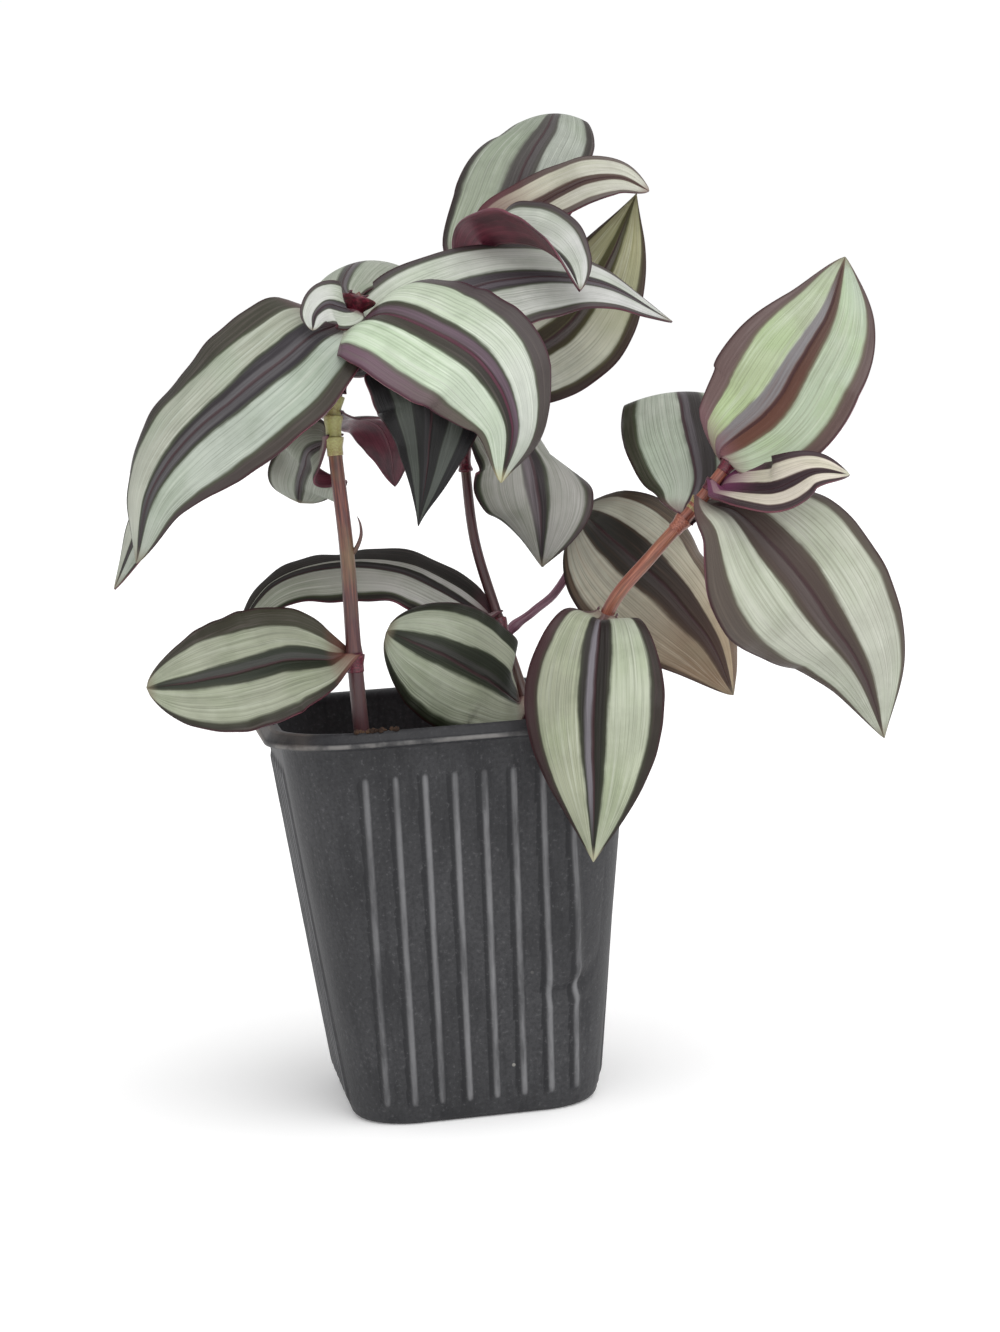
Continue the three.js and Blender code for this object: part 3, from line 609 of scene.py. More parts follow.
class Paints:
    """Builds each finish once and hands it out."""

    def __init__(self) -> None:
        """Makes the finishes that several pieces share."""
        self.leaf = {colour: colour.value.build() for colour in LeafColour}
        self.underside = UndersideFinish().build()
        self.stem = {
            "dull": StemFinish("stem_dull", foot_reach=0.62).build(),
            "deep": StemFinish("stem_deep", base=(84, 48, 52), dark=(62, 34, 38), light=(122, 84, 80),
                               greenness=0.15).build(),
            "peach": StemFinish("stem_peach", base=(150, 90, 74), dark=(112, 62, 52),
                                light=(196, 138, 112), greenness=0.2, foot_reach=0.3).build(),
            "rose": StemFinish("stem_rose", base=(150, 108, 126), dark=(116, 78, 94),
                               light=(184, 146, 156), green=(140, 128, 112), greenness=0.2).build(),
        }
        self.sheath = {
            "red": StemFinish("sheath_red", base=(104, 30, 48), dark=(68, 22, 34),
                              light=(136, 66, 78), green=(104, 60, 62), greenness=0.1).build(),
            "green": StemFinish("sheath_green", base=(158, 150, 96), dark=(132, 104, 76),
                                light=(192, 188, 136), green=(160, 164, 100), greenness=0.8).build(),
            "peach": StemFinish("sheath_peach", base=(158, 98, 80), dark=(124, 70, 58),
                                light=(200, 146, 120), green=(160, 130, 92), greenness=0.3).build(),
        }
        self.pot = PotFinish().build()
        self.soil = SoilFinish().build()
        self.crumb = SoilFinish("peat_crumb", dark=(44, 33, 27), mid=(84, 64, 50),
                                light=(132, 104, 80)).build()


# ---------------------------------------------------------------- mesh helpers
TUBE_MERGE = 0.002  # points of a tube closer than this are one, such as those of its pointed foot
SEW_MERGE = 0.02  # the same for the pot and the soil


def to_object(bm: bmesh.types.BMesh, name: str, *materials: bpy.types.Material) -> bpy.types.Object:
    """Turns a bmesh in millimetres into a smooth object in metres.

    Args:
        bm: the mesh, which is freed.
        name: the object's name.
        materials: its finishes, in slot order.

    Returns:
        The new object, at the origin.
    """
    bmesh.ops.transform(bm, matrix=Matrix.Scale(MM, 4), verts=bm.verts)
    mesh = bpy.data.meshes.new(name)
    bm.to_mesh(mesh)
    bm.free()
    for polygon in mesh.polygons:
        polygon.use_smooth = True
    for material in materials:
        mesh.materials.append(material)
    piece = bpy.data.objects.new(name, mesh)
    bpy.context.scene.collection.objects.link(piece)
    return piece


def warped_grid(across: int, lengthways: int, place, tones: dict | None = None) -> bmesh.types.BMesh:
    """A grid whose points are moved by a rule, with a UV map of the flat grid.

    Args:
        across: faces across the grid.
        lengthways: faces along the grid.
        place: takes (u, v), both 0..1, and gives the point in millimetres.
        tones: rules of (u, v) that give numbers for the mesh to carry, by name.

    Returns:
        The mesh, with its UV map set.
    """
    bm = bmesh.new()
    bmesh.ops.create_grid(bm, x_segments=across, y_segments=lengthways, size=0.5)
    layer = bm.loops.layers.uv.new("UVMap")
    for face in bm.faces:
        for loop in face.loops:
            loop[layer].uv = (loop.vert.co.x + 0.5, loop.vert.co.y + 0.5)
    carried = {bm.verts.layers.float.new(name): rule for name, rule in (tones or {}).items()}
    for vert in bm.verts:
        u, v = clamp(vert.co.x + 0.5), clamp(vert.co.y + 0.5)
        for store, rule in carried.items():
            vert[store] = rule(u, v)
        vert.co = place(u, v)
    return bm


def sew(bm: bmesh.types.BMesh) -> None:
    """Joins points that touch, closes open rims and turns the faces outwards."""
    bmesh.ops.remove_doubles(bm, verts=bm.verts, dist=SEW_MERGE)
    bmesh.ops.holes_fill(bm, edges=[e for e in bm.edges if e.is_boundary], sides=0)
    bmesh.ops.recalc_face_normals(bm, faces=bm.faces)


def tube(path: list[Vector], radius, name: str, material: bpy.types.Material,
         sides: int = 20) -> bpy.types.Object:
    """A round bar along a path.

    Args:
        path: points along its middle, in millimetres.
        radius: takes 0..1 along the path and gives the radius in millimetres.
        name: the object's name.
        material: its finish.
        sides: faces around it.

    Returns:
        The new object.
    """
    frames = []
    side = Vector((1, 0, 0))
    for i, point in enumerate(path):
        forward = heading(path, i)
        side = (side - forward * side.dot(forward)).normalized()
        frames.append((point, side.copy(), forward.cross(side)))
    steps = len(path) - 1

    def place(u: float, v: float) -> Vector:
        """A point on the bar's skin."""
        point, first, second = frames[round(v * steps)]
        turn = 2 * math.pi * u
        size = radius(v)
        return point + first * size * math.cos(turn) + second * size * math.sin(turn)

    bm = warped_grid(sides, steps, place)
    bmesh.ops.remove_doubles(bm, verts=bm.verts, dist=TUBE_MERGE)
    bmesh.ops.recalc_face_normals(bm, faces=bm.faces)
    return to_object(bm, name, material)


# ---------------------------------------------------------------- the stems
@dataclass
class Shoot:
    """One stem of the plant."""

    name: str
    points: tuple
    radius: tuple
    joints: tuple = ()
    tone: str = "dull"
    steps: int = 150
    swelling: float = 0.3
    swelling_reach: float = 1.6
    blunt_share: float = 1 / 40
    path: list = field(default_factory=list)
    length: float = 0.0

    def __post_init__(self) -> None:
        """Draws the stem's middle line and measures it in millimetres."""
        self.path = smooth_path(self.points, self.steps)
        self.length = path_length(self.path)

    def thickness(self, t: float) -> float:
        """Radius at 0..1 of the length: a taper with a swelling at each joint."""
        size = along(self.radius, t)
        for joint in self.joints:
            off = (t - joint) * self.length / self.swelling_reach
            size += self.swelling * math.exp(-(off**2))
        return size * math.sqrt(clamp((ROUND_END - t) / self.blunt_share)) * (1.0 if t > 0 else 0.0)

    def at(self, height: float) -> tuple[Vector, Vector, float]:
        """Where the stem passes a height: the point, its direction, the share of the length."""
        i = 0
        while i < self.steps - 1 and self.path[i + 1].z < height:
            i += 1
        a, b = self.path[i], self.path[i + 1]
        part = clamp((height - a.z) / (b.z - a.z))
        return a.lerp(b, part), (b - a).normalized(), (i + part) / self.steps

    def build(self, paints: Paints) -> None:
        """Makes the stem and sets it in its solid's place."""
        piece = tube(self.path, self.thickness, f"{self.name}_skin", paints.stem[self.tone])
        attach(piece, "root")
        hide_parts(self.name)
        LOG.info("stem %s, %.0f mm long", self.name, self.length)


# ---------------------------------------------------------------- the leaves
GRIP_GAP = 0.75  # from a stem's skin to the foot of the blade that clasps it
CLASP_TURN = math.radians(115)  # how far each half of the foot reaches around the stem
CLASP_CLIMB = 0.25  # how fast the foot climbs, as a share of the blade's run
CLASP_SHARE = 0.085  # the share of the blade in which it opens away from the stem
ROOT_SHARE = 0.1  # the share of the blade that counts as its root
ROOT_HALF = 1.4  # least half-width at the root
TIP_HALF = 0.02  # least half-width elsewhere
BLADE_THICKNESS = 0.5
BLADE_MERGE = 0.01  # points of a blade closer than this are one
SHEATH_OVER = 1.3  # how far a sheath reaches past the foot of its blade
SHEATH_WALL = 0.22
LONG_SHEATH = 5.0  # a sheath from this length on has a ring at its foot


@dataclass
class Leaf:
    """One leaf: a pointed blade that clasps its stem with a short sheath.

    The numbers mean what they mean in the part's source: at is a height on the stem, spine
    runs along the midrib, face gives the directions that the upper side looks in, fold and
    curl bend each half, and swell shapes the outline at root and tip.
    """

    name: str
    stem: str
    at: float
    width: float
    spine: tuple
    face: tuple
    fold: tuple
    curl: tuple
    swell: tuple = (0.5, 0.85)
    colour: LeafColour = LeafColour.SILVER
    ripple: float = 0.45
    sheath: float = 1.6
    sheath_tone: str = "red"
    flare: float = 0.45
    across: int = 28
    lengthways: int = 84

    def outline(self, t: float) -> float:
        """Half-width at 0..1 of the length, as a share of the broadest part."""
        root, tip = self.swell
        peak = root / (root + tip)
        top = peak**root * (1 - peak) ** tip
        return t**root * (1 - t) ** tip / top

    def build(self, shoot: Shoot, paints: Paints) -> None:
        """Makes the blade and the sheath.

        Args:
            shoot: the stem that carries the leaf.
            paints: the finishes.
        """
        point, direction, share = shoot.at(self.at)
        radius = along(shoot.radius, share)
        grip = radius + GRIP_GAP
        aim = Vector(self.spine[0]) - point
        aim = (aim - direction * aim.dot(direction)).normalized()
        root = point + aim * grip
        path = smooth_path((tuple(root), *self.spine), self.lengthways)
        run = path_length(path)
        rows = [self.frame(path, i) for i in range(self.lengthways + 1)]
        clasp_side = direction.cross(aim)
        if clasp_side.dot(rows[0][1]) < 0:
            clasp_side.negate()
        chance = random.Random(self.name)
        phases = [chance.uniform(0, 6.28) for _ in range(4)]
        waves = [chance.uniform(2.2, 3.6) for _ in range(2)]

        def place(u: float, v: float) -> Vector:
            """A point of the blade's middle surface."""
            i = round(v * self.lengthways)
            middle, across, face = rows[i]
            s = 2 * u - 1
            fold = math.radians(along(self.fold, v))
            curl = max(math.radians(along(self.curl, v)), 1e-3)
            least = ROOT_HALF if v < ROOT_SHARE else TIP_HALF
            half = max(self.width / 2 * self.outline(v), least)
            bend = fold - curl * abs(s)
            out = (math.sin(fold) - math.sin(bend)) / curl
            rise = (math.cos(bend) - math.cos(fold)) / curl
            free = middle + across * (half * math.copysign(out, s) if s else 0) + face * half * rise
            which = 0 if s < 0 else 1
            wave = math.sin(2 * math.pi * v * waves[which] + phases[which])
            wave += 0.5 * math.sin(2 * math.pi * v * waves[which] * 2.3 + phases[which + 2])
            free += face * self.ripple * wave * abs(s) ** 2.5 * math.sin(math.pi * v)
            turn = s * CLASP_TURN
            held = point + direction * (self.sheath / 2 + v * run * CLASP_CLIMB)
            held += (aim * math.cos(turn) + clasp_side * math.sin(turn)) * grip
            return held.lerp(free, ease(0.0, CLASP_SHARE, v))

        bm = warped_grid(self.across, self.lengthways, place)
        bmesh.ops.remove_doubles(bm, verts=bm.verts, dist=BLADE_MERGE)
        blade = to_object(bm, f"{self.name}_blade", paints.leaf[self.colour], paints.underside)
        skin = blade.modifiers.new("thickness", "SOLIDIFY")
        skin.thickness = BLADE_THICKNESS * MM
        skin.offset = 0
        skin.material_offset = 1
        skin.material_offset_rim = 1
        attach(blade, "root")
        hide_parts(self.name)
        self.build_sheath(shoot, share, paints)
        LOG.info("leaf %s, %.0f mm long", self.name, run)

    def frame(self, path: list[Vector], i: int) -> tuple[Vector, Vector, Vector]:
        """Midrib point, sideways direction and upper-side direction of one row."""
        t = i / self.lengthways
        forward = heading(path, i)
        face = Vector([along(tuple(f[k] for f in self.face), t) for k in range(3)])
        face = (face - forward * face.dot(forward)).normalized()
        return path[i], forward.cross(face), face

    def build_sheath(self, shoot: Shoot, share: float, paints: Paints) -> None:
        """Makes the thin closed sheath that wraps the stem below the blade.

        Args:
            shoot: the stem that carries the leaf.
            share: where the blade joins it, as a share of its length.
            paints: the finishes.
        """
        low = share - self.sheath / shoot.length
        high = share + SHEATH_OVER / shoot.length
        steps = 24
        radius = along(shoot.radius, share)

        def size(t: float) -> float:
            """Radius at 0..1 of the sheath: its mouth is wider, and a long one has a ring at its foot."""
            if t in (0, 1):
                return radius * 0.8
            ring = 0.4 if self.sheath >= LONG_SHEATH else 0.0
            foot = ring * math.exp(-(((t * (self.sheath + SHEATH_OVER) - 0.6) / 0.7) ** 2))
            return radius + SHEATH_WALL + foot + self.flare * ease(0.35, 0.95, t)

        path = []
        for k in range(steps + 1):
            spot = clamp(low + (high - low) * k / steps) * shoot.steps
            i = int(spot)
            first, second = shoot.path[min(i, shoot.steps - 1)], shoot.path[min(i + 1, shoot.steps)]
            path.append(first.lerp(second, spot - i))
        piece = tube(path, size, f"{self.name}_sheath", paints.sheath[self.sheath_tone], 20)
        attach(piece, "root")


# ---------------------------------------------------------------- pot and soil
@dataclass
class Pot:
    """A square nursery pot with round corners, ribs and a flared lip."""

    height: float = 95.0
    rim_half: float = 45.0
    wall_top_half: float = 41.2
    wall_base_half: float = 29.8
    corner_top: float = 20.0
    corner_base: float = 15.0
    wall: float = 1.2
    floor: float = 1.6
    lip: float = 3.6
    ribs: tuple = (8, 6, 8, 6)
    rib_spacing: tuple = (6.45, 6.85)
    rib_width: float = 3.8
    rib_height: float = 0.7
    rib_span: tuple = (3.0, 86.0)
    foot_round: float = 2.4
    drain_radius: float = 3.4
    drain_offset: float = 15.0
    bulge_off: float = 3.0
    bulge_half: float = 6.5
    bulge_depth: float = 1.9
    crease_height: float = 29.0
    steps_around: int = 560
    steps_up: int = 90

    def wall_half(self, z: float) -> float:
        """Half-width of the wall's outside at a height."""
        return along((self.wall_base_half, self.wall_top_half), z / (self.height - self.lip))

    def corner(self, z: float) -> float:
        """Corner radius of the wall at a height."""
        return along((self.corner_base, self.corner_top), z / (self.height - self.lip))

    def around(self, u: float, half: float, corner: float) -> tuple[float, float, float, float]:
        """Follows the rounded square.

        Args:
            u: place around it, 0..1, from the middle of the front.
            half: half-width of the square.
            corner: its corner radius.

        Returns:
            x and y of the point and of the outward direction.
        """
        straight = half - corner
        arc = corner * math.pi / 2
        side = 2 * straight + arc
        far = (u % 1.0) * 4 * side + straight
        quarter, rest = divmod(far, side)
        if rest < 2 * straight:
            x, y, nx, ny = rest - straight, -half, 0.0, -1.0
        else:
            angle = (rest - 2 * straight) / corner
            nx, ny = math.sin(angle), -math.cos(angle)
            x, y = straight + corner * nx, -straight + corner * ny
        turn = quarter * math.pi / 2
        c, s = math.cos(turn), math.sin(turn)
        return x * c - y * s, x * s + y * c, nx * c - ny * s, nx * s + ny * c

    def rib_place(self, u: float, half: float, corner: float, z: float) -> float:
        """How far a place of the outer wall is from the nearest rib's ridge.

        Args:
            u: place around the pot, 0..1, from the middle of the front.
            half: half-width of the wall there.
            corner: its corner radius there.
            z: height of the place.

        Returns:
            -1 to 1 from the rib's left foot to its right foot, and 2 where no rib is near.
        """
        side = 2 * (half - corner) + corner * math.pi / 2
        across = ((u * 4 + 0.5) % 1.0 - 0.5) * side
        spacing = along(self.rib_spacing, z / self.height)
        nearest = round(across / spacing - 0.5) + 0.5
        if abs(nearest) > (self.ribs[int(u * 4 + 0.5) % 4] - 1) / 2 + 0.01:
            return 2.0
        off = (across - nearest * spacing) / (self.rib_width / 2)
        return off if abs(off) < 1 else 2.0

    def rib_ends(self, z: float) -> float:
        """Fades the ribs out at their lower and upper ends."""
        low, high = self.rib_span
        return ease(low, low + 3, z) * ease(high, high - 3, z)

    def rib_lift(self, u: float, half: float, corner: float, z: float) -> float:
        """How much of a rib's height a place of the outer wall has, 0..1."""
        off = min(abs(self.rib_place(u, half, corner, z)), 1.0)
        return self.rib_ends(z) * math.cos(off * math.pi / 2) ** 2

    def bulge(self, u: float, half: float, corner: float, z: float) -> float:
        """The wall pushed out near the right front corner, down to a curved crease."""
        side = 2 * (half - corner) + corner * math.pi / 2
        off = ((u * 4 + 0.5) % 1.0 - 0.5) * side if u < 0.125 else 99.0
        off -= half - corner + self.bulge_off
        across = math.exp(-((off / self.bulge_half) ** 2))
        crease = self.crease_height + 0.045 * off * off + 0.18 * off
        out = self.bulge_depth * ease(crease + 0.5, crease + 5.0, z) * ease(74, 46, z)
        groove = -0.9 * math.exp(-(((z - crease) / 1.5) ** 2))
        welt = 0.7 * math.exp(-(((z - crease + 3.2) / 1.3) ** 2))
        return across * (out + groove + welt)

    def profile(self) -> list[tuple[float, float, float, float, float]]:
        """The wall's outline from the middle underneath, up the outside and down the inside.

        Returns:
            Rows of half-width, corner radius, height, 1 where the wall has ribs, and a lip value: high on
            the bead, where the finish paints wear and a highlight, lower around it, where it paints shade.
        """
        rows: list[tuple[float, float, float, float, float]] = []
        base, radius, foot = self.wall_base_half, self.corner_base, self.foot_round
        for share in (0.02, 0.3, 0.6, 0.85):
            rows.append((base * share, radius * share, 0.0, 0, 0))
        for _, sine, cosine in quarter(6):
            inward = foot * (1 - sine)
            rows.append((base - inward, radius - inward, foot * (1 - cosine), 0, 0))
        top = self.height - self.lip
        for k in range(1, self.steps_up + 1):
            z = foot + (top - 1.0 - foot) * k / self.steps_up
            rows.append((self.wall_half(z), self.corner(z), z, 1, 0))
        outer, inner = self.rim_half, self.wall_top_half - self.wall
        for share, sine, cosine in quarter(5, 1):
            rows.append((self.wall_top_half + (outer - 0.9 - self.wall_top_half) * (1 - cosine),
                         self.corner_top + 1.5 * share, top - 1.0 + 1.05 * sine, 0, 0.15 * share))
        for k in range(9):
            angle = math.pi * (k / 8 - 0.5) * 0.86
            rows.append((outer - 0.7 + 0.7 * math.cos(angle), self.corner_top + 2,
                         top + 0.8 + 0.75 * math.sin(angle), 0, 0.3 + 0.7 * math.sin(math.pi * k / 8)))
        for k in range(1, 7):
            rows.append((outer - 0.55 - 1.1 * k / 6, self.corner_top + 2 - k / 6,
                         top + 1.6 + (self.lip - 2.0) * k / 6, 0, 0.3))
        for _, sine, _ in quarter(4, 1):
            rows.append((outer - 1.65 - 0.5 * sine, self.corner_top + 1,
                         self.height - 0.4 + 0.4 * sine, 0, 0.45))
        rows.append((outer - 2.9, self.corner_top + 0.5, self.height - 0.05, 0, 0.3))
        for share, sine, cosine in quarter(5):
            rows.append((inner + 1.2 * (1 - sine), self.corner_top - self.wall + 1 - share,
                         self.height - 0.2 - 1.8 * (1 - cosine), 0, 0.15))
        for z in (91, 88, 84, 80, 60, 40, 20, 6, self.floor + 1.2):
            rows.append((self.wall_half(z) - self.wall, self.corner(z) - self.wall, z, 0, 0))
        inner = self.wall_half(self.floor) - self.wall
        for share in (0.95, 0.6, 0.3, 0.02):
            rows.append((inner * share, (radius - self.wall) * share, self.floor, 0, 0))
        return rows

    def build(self, paints: Paints) -> None:
        """Makes the pot with its drainage holes."""
        rows = self.profile()

        def ridge(u: float, v: float) -> float:
            """How much of a rib's height the skin has here."""
            half, corner, z, ribbed, _ = rows[round(v * (len(rows) - 1))]
            return self.rib_lift(u, half, corner, z) if ribbed else 0.0

        def flank(u: float, v: float) -> float:
            """Which flank of a rib the skin is here: -1 left, 1 right, 0 elsewhere."""
            half, corner, z, ribbed, _ = rows[round(v * (len(rows) - 1))]
            off = self.rib_place(u, half, corner, z)
            return off * self.rib_ends(z) if ribbed and abs(off) < 1 else 0.0

        def lip(_: float, v: float) -> float:
            """The lip value here: high on the bead, which is pale from wear and a painted highlight, lower
            around it, where painted shade goes.
            """
            return rows[round(v * (len(rows) - 1))][4]

        def place(u: float, v: float) -> Vector:
            """A point of the pot's skin."""
            half, corner, z, ribbed, _ = rows[round(v * (len(rows) - 1))]
            x, y, nx, ny = self.around(u, half, max(corner, 0.05))
            lift = self.rib_height * ridge(u, v)
            if ribbed:
                lift += self.bulge(u, half, corner, z)
            return Vector((x + nx * lift, y + ny * lift, z))

        # ridge and flank steer the painted rib highlights and shade in the pot's finish; lip steers the
        # bead's wear and painted highlight, and the painted shade around it
        tones = {"ridge": ridge, "flank": flank, "lip": lip}
        bm = warped_grid(self.steps_around, len(rows) - 1, place, tones)
        sew(bm)
        pot = to_object(bm, "pot_shell", paints.pot)
        self.drill(pot, paints)
        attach(pot, "root")
        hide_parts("pot")
        LOG.info("pot, %d faces", len(pot.data.polygons))

    def drill(self, pot: bpy.types.Object, paints: Paints) -> None:
        """Cuts the four drainage holes and keeps the result as the pot's mesh."""
        bm = bmesh.new()
        for x in (-self.drain_offset, self.drain_offset):
            for y in (-self.drain_offset, self.drain_offset):
                bmesh.ops.create_cone(bm, cap_ends=True, segments=32, radius1=self.drain_radius,
                                      radius2=self.drain_radius, depth=8.0,
                                      matrix=Matrix.Translation((x, y, 0.0)))
        cutter = to_object(bm, "drain_cutter", paints.pot)
        cut = pot.modifiers.new("drains", "BOOLEAN")
        cut.object = cutter
        cut.operation = "DIFFERENCE"
        cut.solver = "EXACT"
        graph = bpy.context.evaluated_depsgraph_get()
        mesh = bpy.data.meshes.new_from_object(pot.evaluated_get(graph))
        pot.modifiers.clear()
        pot.data = mesh
        bpy.data.objects.remove(cutter)


@dataclass
class Soil:
    """Peat that fills the pot to a little under the lip."""

    pot: Pot
    top: float = 84.5
    bottom: float = 2.2
    sunk: float = 1.3
    rings: int = 46
    steps_around: int = 120
    crumbs: int = 420
    free_corner: float = 9.0
    spilt: int = 26
    spill: tuple = (-25.5, -16)
    lip_middle: float = 2.4

    def build(self, paints: Paints) -> None:
        """Makes the bed and the loose crumbs on it."""
        chance = random.Random(5)
        half = self.pot.wall_half(self.top) - self.pot.wall - 0.25
        corner = self.pot.corner(self.top) - self.pot.wall
        low = self.pot.wall_half(self.bottom) - self.pot.wall - 1.5

        def place(u: float, v: float) -> Vector:
            """A point of the bed, from the middle of its top to the middle underneath."""
            step = round(v * (self.rings + 6))
            if step <= self.rings:
                share = max(step / self.rings, 0.003)
                x, y, _, _ = self.pot.around(u, half * share, max(corner * share, 0.02))
                bumps = 0.9 * math.sin(x * 0.43 + 1.3) * math.cos(y * 0.37 + 0.6)
                bumps += 0.45 * math.sin(x * 1.3 + y * 0.9) * math.cos(y * 1.1 - 0.4)
                return Vector((x, y, self.top - self.sunk + bumps * (1 - 0.5 * share**6)))
            share = (step - self.rings) / 6
            if share < 0.7:
                x, y, _, _ = self.pot.around(u, half + (low - half) * share / 0.67, corner)
                return Vector((x, y, self.top - 2 + (self.bottom - self.top + 2) * share / 0.67))
            inner = (1 - share) * 2.9
            x, y, _, _ = self.pot.around(u, low * inner + 0.05, corner * inner + 0.02)
            return Vector((x, y, self.bottom))

        bm = warped_grid(self.steps_around, self.rings + 6, place)
        sew(bm)
        bed = to_object(bm, "soil_bed", paints.soil)
        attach(bed, "root")
        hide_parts("soil")
        self.scatter(half - 1.5, chance, paints)

    def scatter(self, half: float, chance: random.Random, paints: Paints) -> None:
        """Strews crumbs of peat over the bed, and a few on the lip at the front."""
        bm = bmesh.new()
        for _ in range(self.crumbs):
            x, y = chance.uniform(-half, half), chance.uniform(-half, half)
            if min(abs(x), abs(y)) > half - self.free_corner:
                continue
            size = chance.uniform(0.35, 1.25) * chance.uniform(0.6, 1.0)
            angle = chance.uniform(0, 6.28)
            turn = Matrix.Rotation(angle, 4, Vector((chance.random(), chance.random(), 1)))
            shape = Matrix.Diagonal((chance.uniform(0.7, 1.5), 1.0, chance.uniform(0.5, 0.9), 1.0))
            spot = Matrix.Translation((x, y, self.top - self.sunk + size * 0.2 + 0.6))
            made = bmesh.ops.create_icosphere(bm, subdivisions=1, radius=size,
                                              matrix=spot @ turn @ shape)
            for vert in made["verts"]:
                vert.co += Vector([chance.uniform(-0.18, 0.18) * size for _ in range(3)])
        for _ in range(self.spilt):
            size = chance.uniform(0.3, 0.75)
            x = chance.uniform(*self.spill)
            y = chance.uniform(-0.5, 0.5) + self.lip_middle - self.pot.rim_half
            spot = Matrix.Translation((x, y, self.pot.height + size * 0.3))
            bmesh.ops.create_icosphere(bm, subdivisions=1, radius=size, matrix=spot)
        crumbs = to_object(bm, "soil_crumbs", paints.crumb)
        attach(crumbs, "root")


# ---------------------------------------------------------------- camera, floor, light
@dataclass
class Studio:
    """Camera at the photograph's viewing angle, a pale floor and soft light."""

    distance: float = 650.0
    azimuth: float = 9.0
    elevation: float = 6.1
    roll: float = -3.55
    focal_pixels: float = 2680.0
    target: tuple = (15.0, 0.0, 103.0)
    floor_half: float = 6000.0
    horizon: float = 1.02
    overhead: float = 0.6

    def camera(self) -> None:
        """Sets the camera."""
        a, e, r = (math.radians(v) for v in (self.azimuth, self.elevation, self.roll))
        back = Vector((-math.sin(a) * math.cos(e), -math.cos(a) * math.cos(e), math.sin(e)))
        right = (-back).cross(Vector((0, 0, 1))).normalized()
        up = right.cross(-back)
        tilted_right = right * math.cos(r) + up * math.sin(r)
        tilted_up = up * math.cos(r) - right * math.sin(r)
        data = bpy.data.cameras.new("camera")
        data.sensor_width = SENSOR
        data.sensor_fit = "AUTO"
        data.lens = self.focal_pixels * SENSOR / PHOTO_HEIGHT
        data.clip_start = 0.01
        data.clip_end = 20
        camera = bpy.data.objects.new("camera", data)
        turn = Matrix((tilted_right, tilted_up, back)).transposed().to_4x4()
        place = (Vector(self.target) + back * self.distance) * MM
        camera.matrix_world = Matrix.Translation(place) @ turn
        bpy.context.scene.collection.objects.link(camera)
        bpy.context.scene.camera = camera

    def floor(self) -> None:
        """Lays the pale floor."""
        bm = bmesh.new()
        bmesh.ops.create_grid(bm, x_segments=1, y_segments=1, size=self.floor_half)
        b = Bench("floor")
        b.fixed(Specular_IOR_Level=0.0, Emission_Color=WHITE, Emission_Strength=0.12)
        floor = to_object(bm, "floor", b.finish((0.97, 0.97, 0.97, 1.0), 1.0))

    def lamp(self, name: str, towards: tuple, strength: float, softness: float) -> None:
        """Hangs one wide, far and soft light.

        Args:
            name: the light's name.
            towards: where the light stands, seen from the plant.
            strength: how strong it is.
            softness: how wide it looks from the plant, in degrees.
        """
        data = bpy.data.lights.new(name, "SUN")
        data.energy = strength
        data.angle = math.radians(softness)
        lamp = bpy.data.objects.new(name, data)
        lamp.location = towards
        lamp.rotation_euler = (-Vector(towards)).to_track_quat("-Z", "Y").to_euler()
        bpy.context.scene.collection.objects.link(lamp)

    def light(self) -> None:
        """Sets the lights and the surroundings: white all round, dimmer overhead."""
        bpy.context.scene.view_settings.view_transform = "Standard"
        world = bpy.data.worlds.new("surroundings")
        world.use_nodes = True
        nodes, links = world.node_tree.nodes, world.node_tree.links
        split = nodes.new("ShaderNodeSeparateXYZ")
        links.new(nodes.new("ShaderNodeTexCoord").outputs["Generated"], split.inputs[0])
        fade = nodes.new("ShaderNodeMapRange")
        fade.interpolation_type = "SMOOTHSTEP"
        for value, socket in zip((0.0, 0.2, 0.6, self.horizon, self.overhead), fade.inputs):
            socket.default_value = value
        links.new(split.outputs[2], fade.inputs[0])
        nodes["Background"].inputs[0].default_value = WHITE
        links.new(fade.outputs[0], nodes["Background"].inputs[1])
        bpy.context.scene.world = world
        self.lamp("key", (0.3, -0.6, 1.2), 1.7, 70)
        self.lamp("fill", (0.25, -1.0, 0.35), 0.5, 80)


# ---------------------------------------------------------------- the plant
SHOOTS = (
    Shoot("stem_front", ((-22, -27, 78), (-23, -27, 110), (-23, -26, 135), (-24, -24, 162), (-22, -23, 174),
                         (-15.5, -20.5, 194)), (1.9, 1.5), (0.28, 0.7), "dull"),
    Shoot("stem_middle", ((22.5, -7, 78), (20.5, -5.5, 92), (18, -1, 104), (15.5, 5, 116.5), (12, 8, 133),
                          (11, 9, 150), (11, 10, 168), (13, 11, 186), (19.5, 11.5, 208)),
          (1.35, 1.15), (0.13, 0.28, 0.6, 0.72), "deep"),
    Shoot("stem_right", ((30, -17, 78), (32, -26, 101), (36, -34, 118), (46, -38, 130), (56, -39, 140),
                         (65.5, -39, 150.5)), (1.8, 1.4), (0.46, 0.79, 0.85), "peach"),
    Shoot("stem_short", ((15, 12, 78), (15.5, 12, 97), (19, 12, 109), (26, 12, 114.5), (32, 12, 119),
                         (37, 12, 127), (39, 12, 139)), (1.2, 1.0), (0.5, 0.93), "rose"),
)

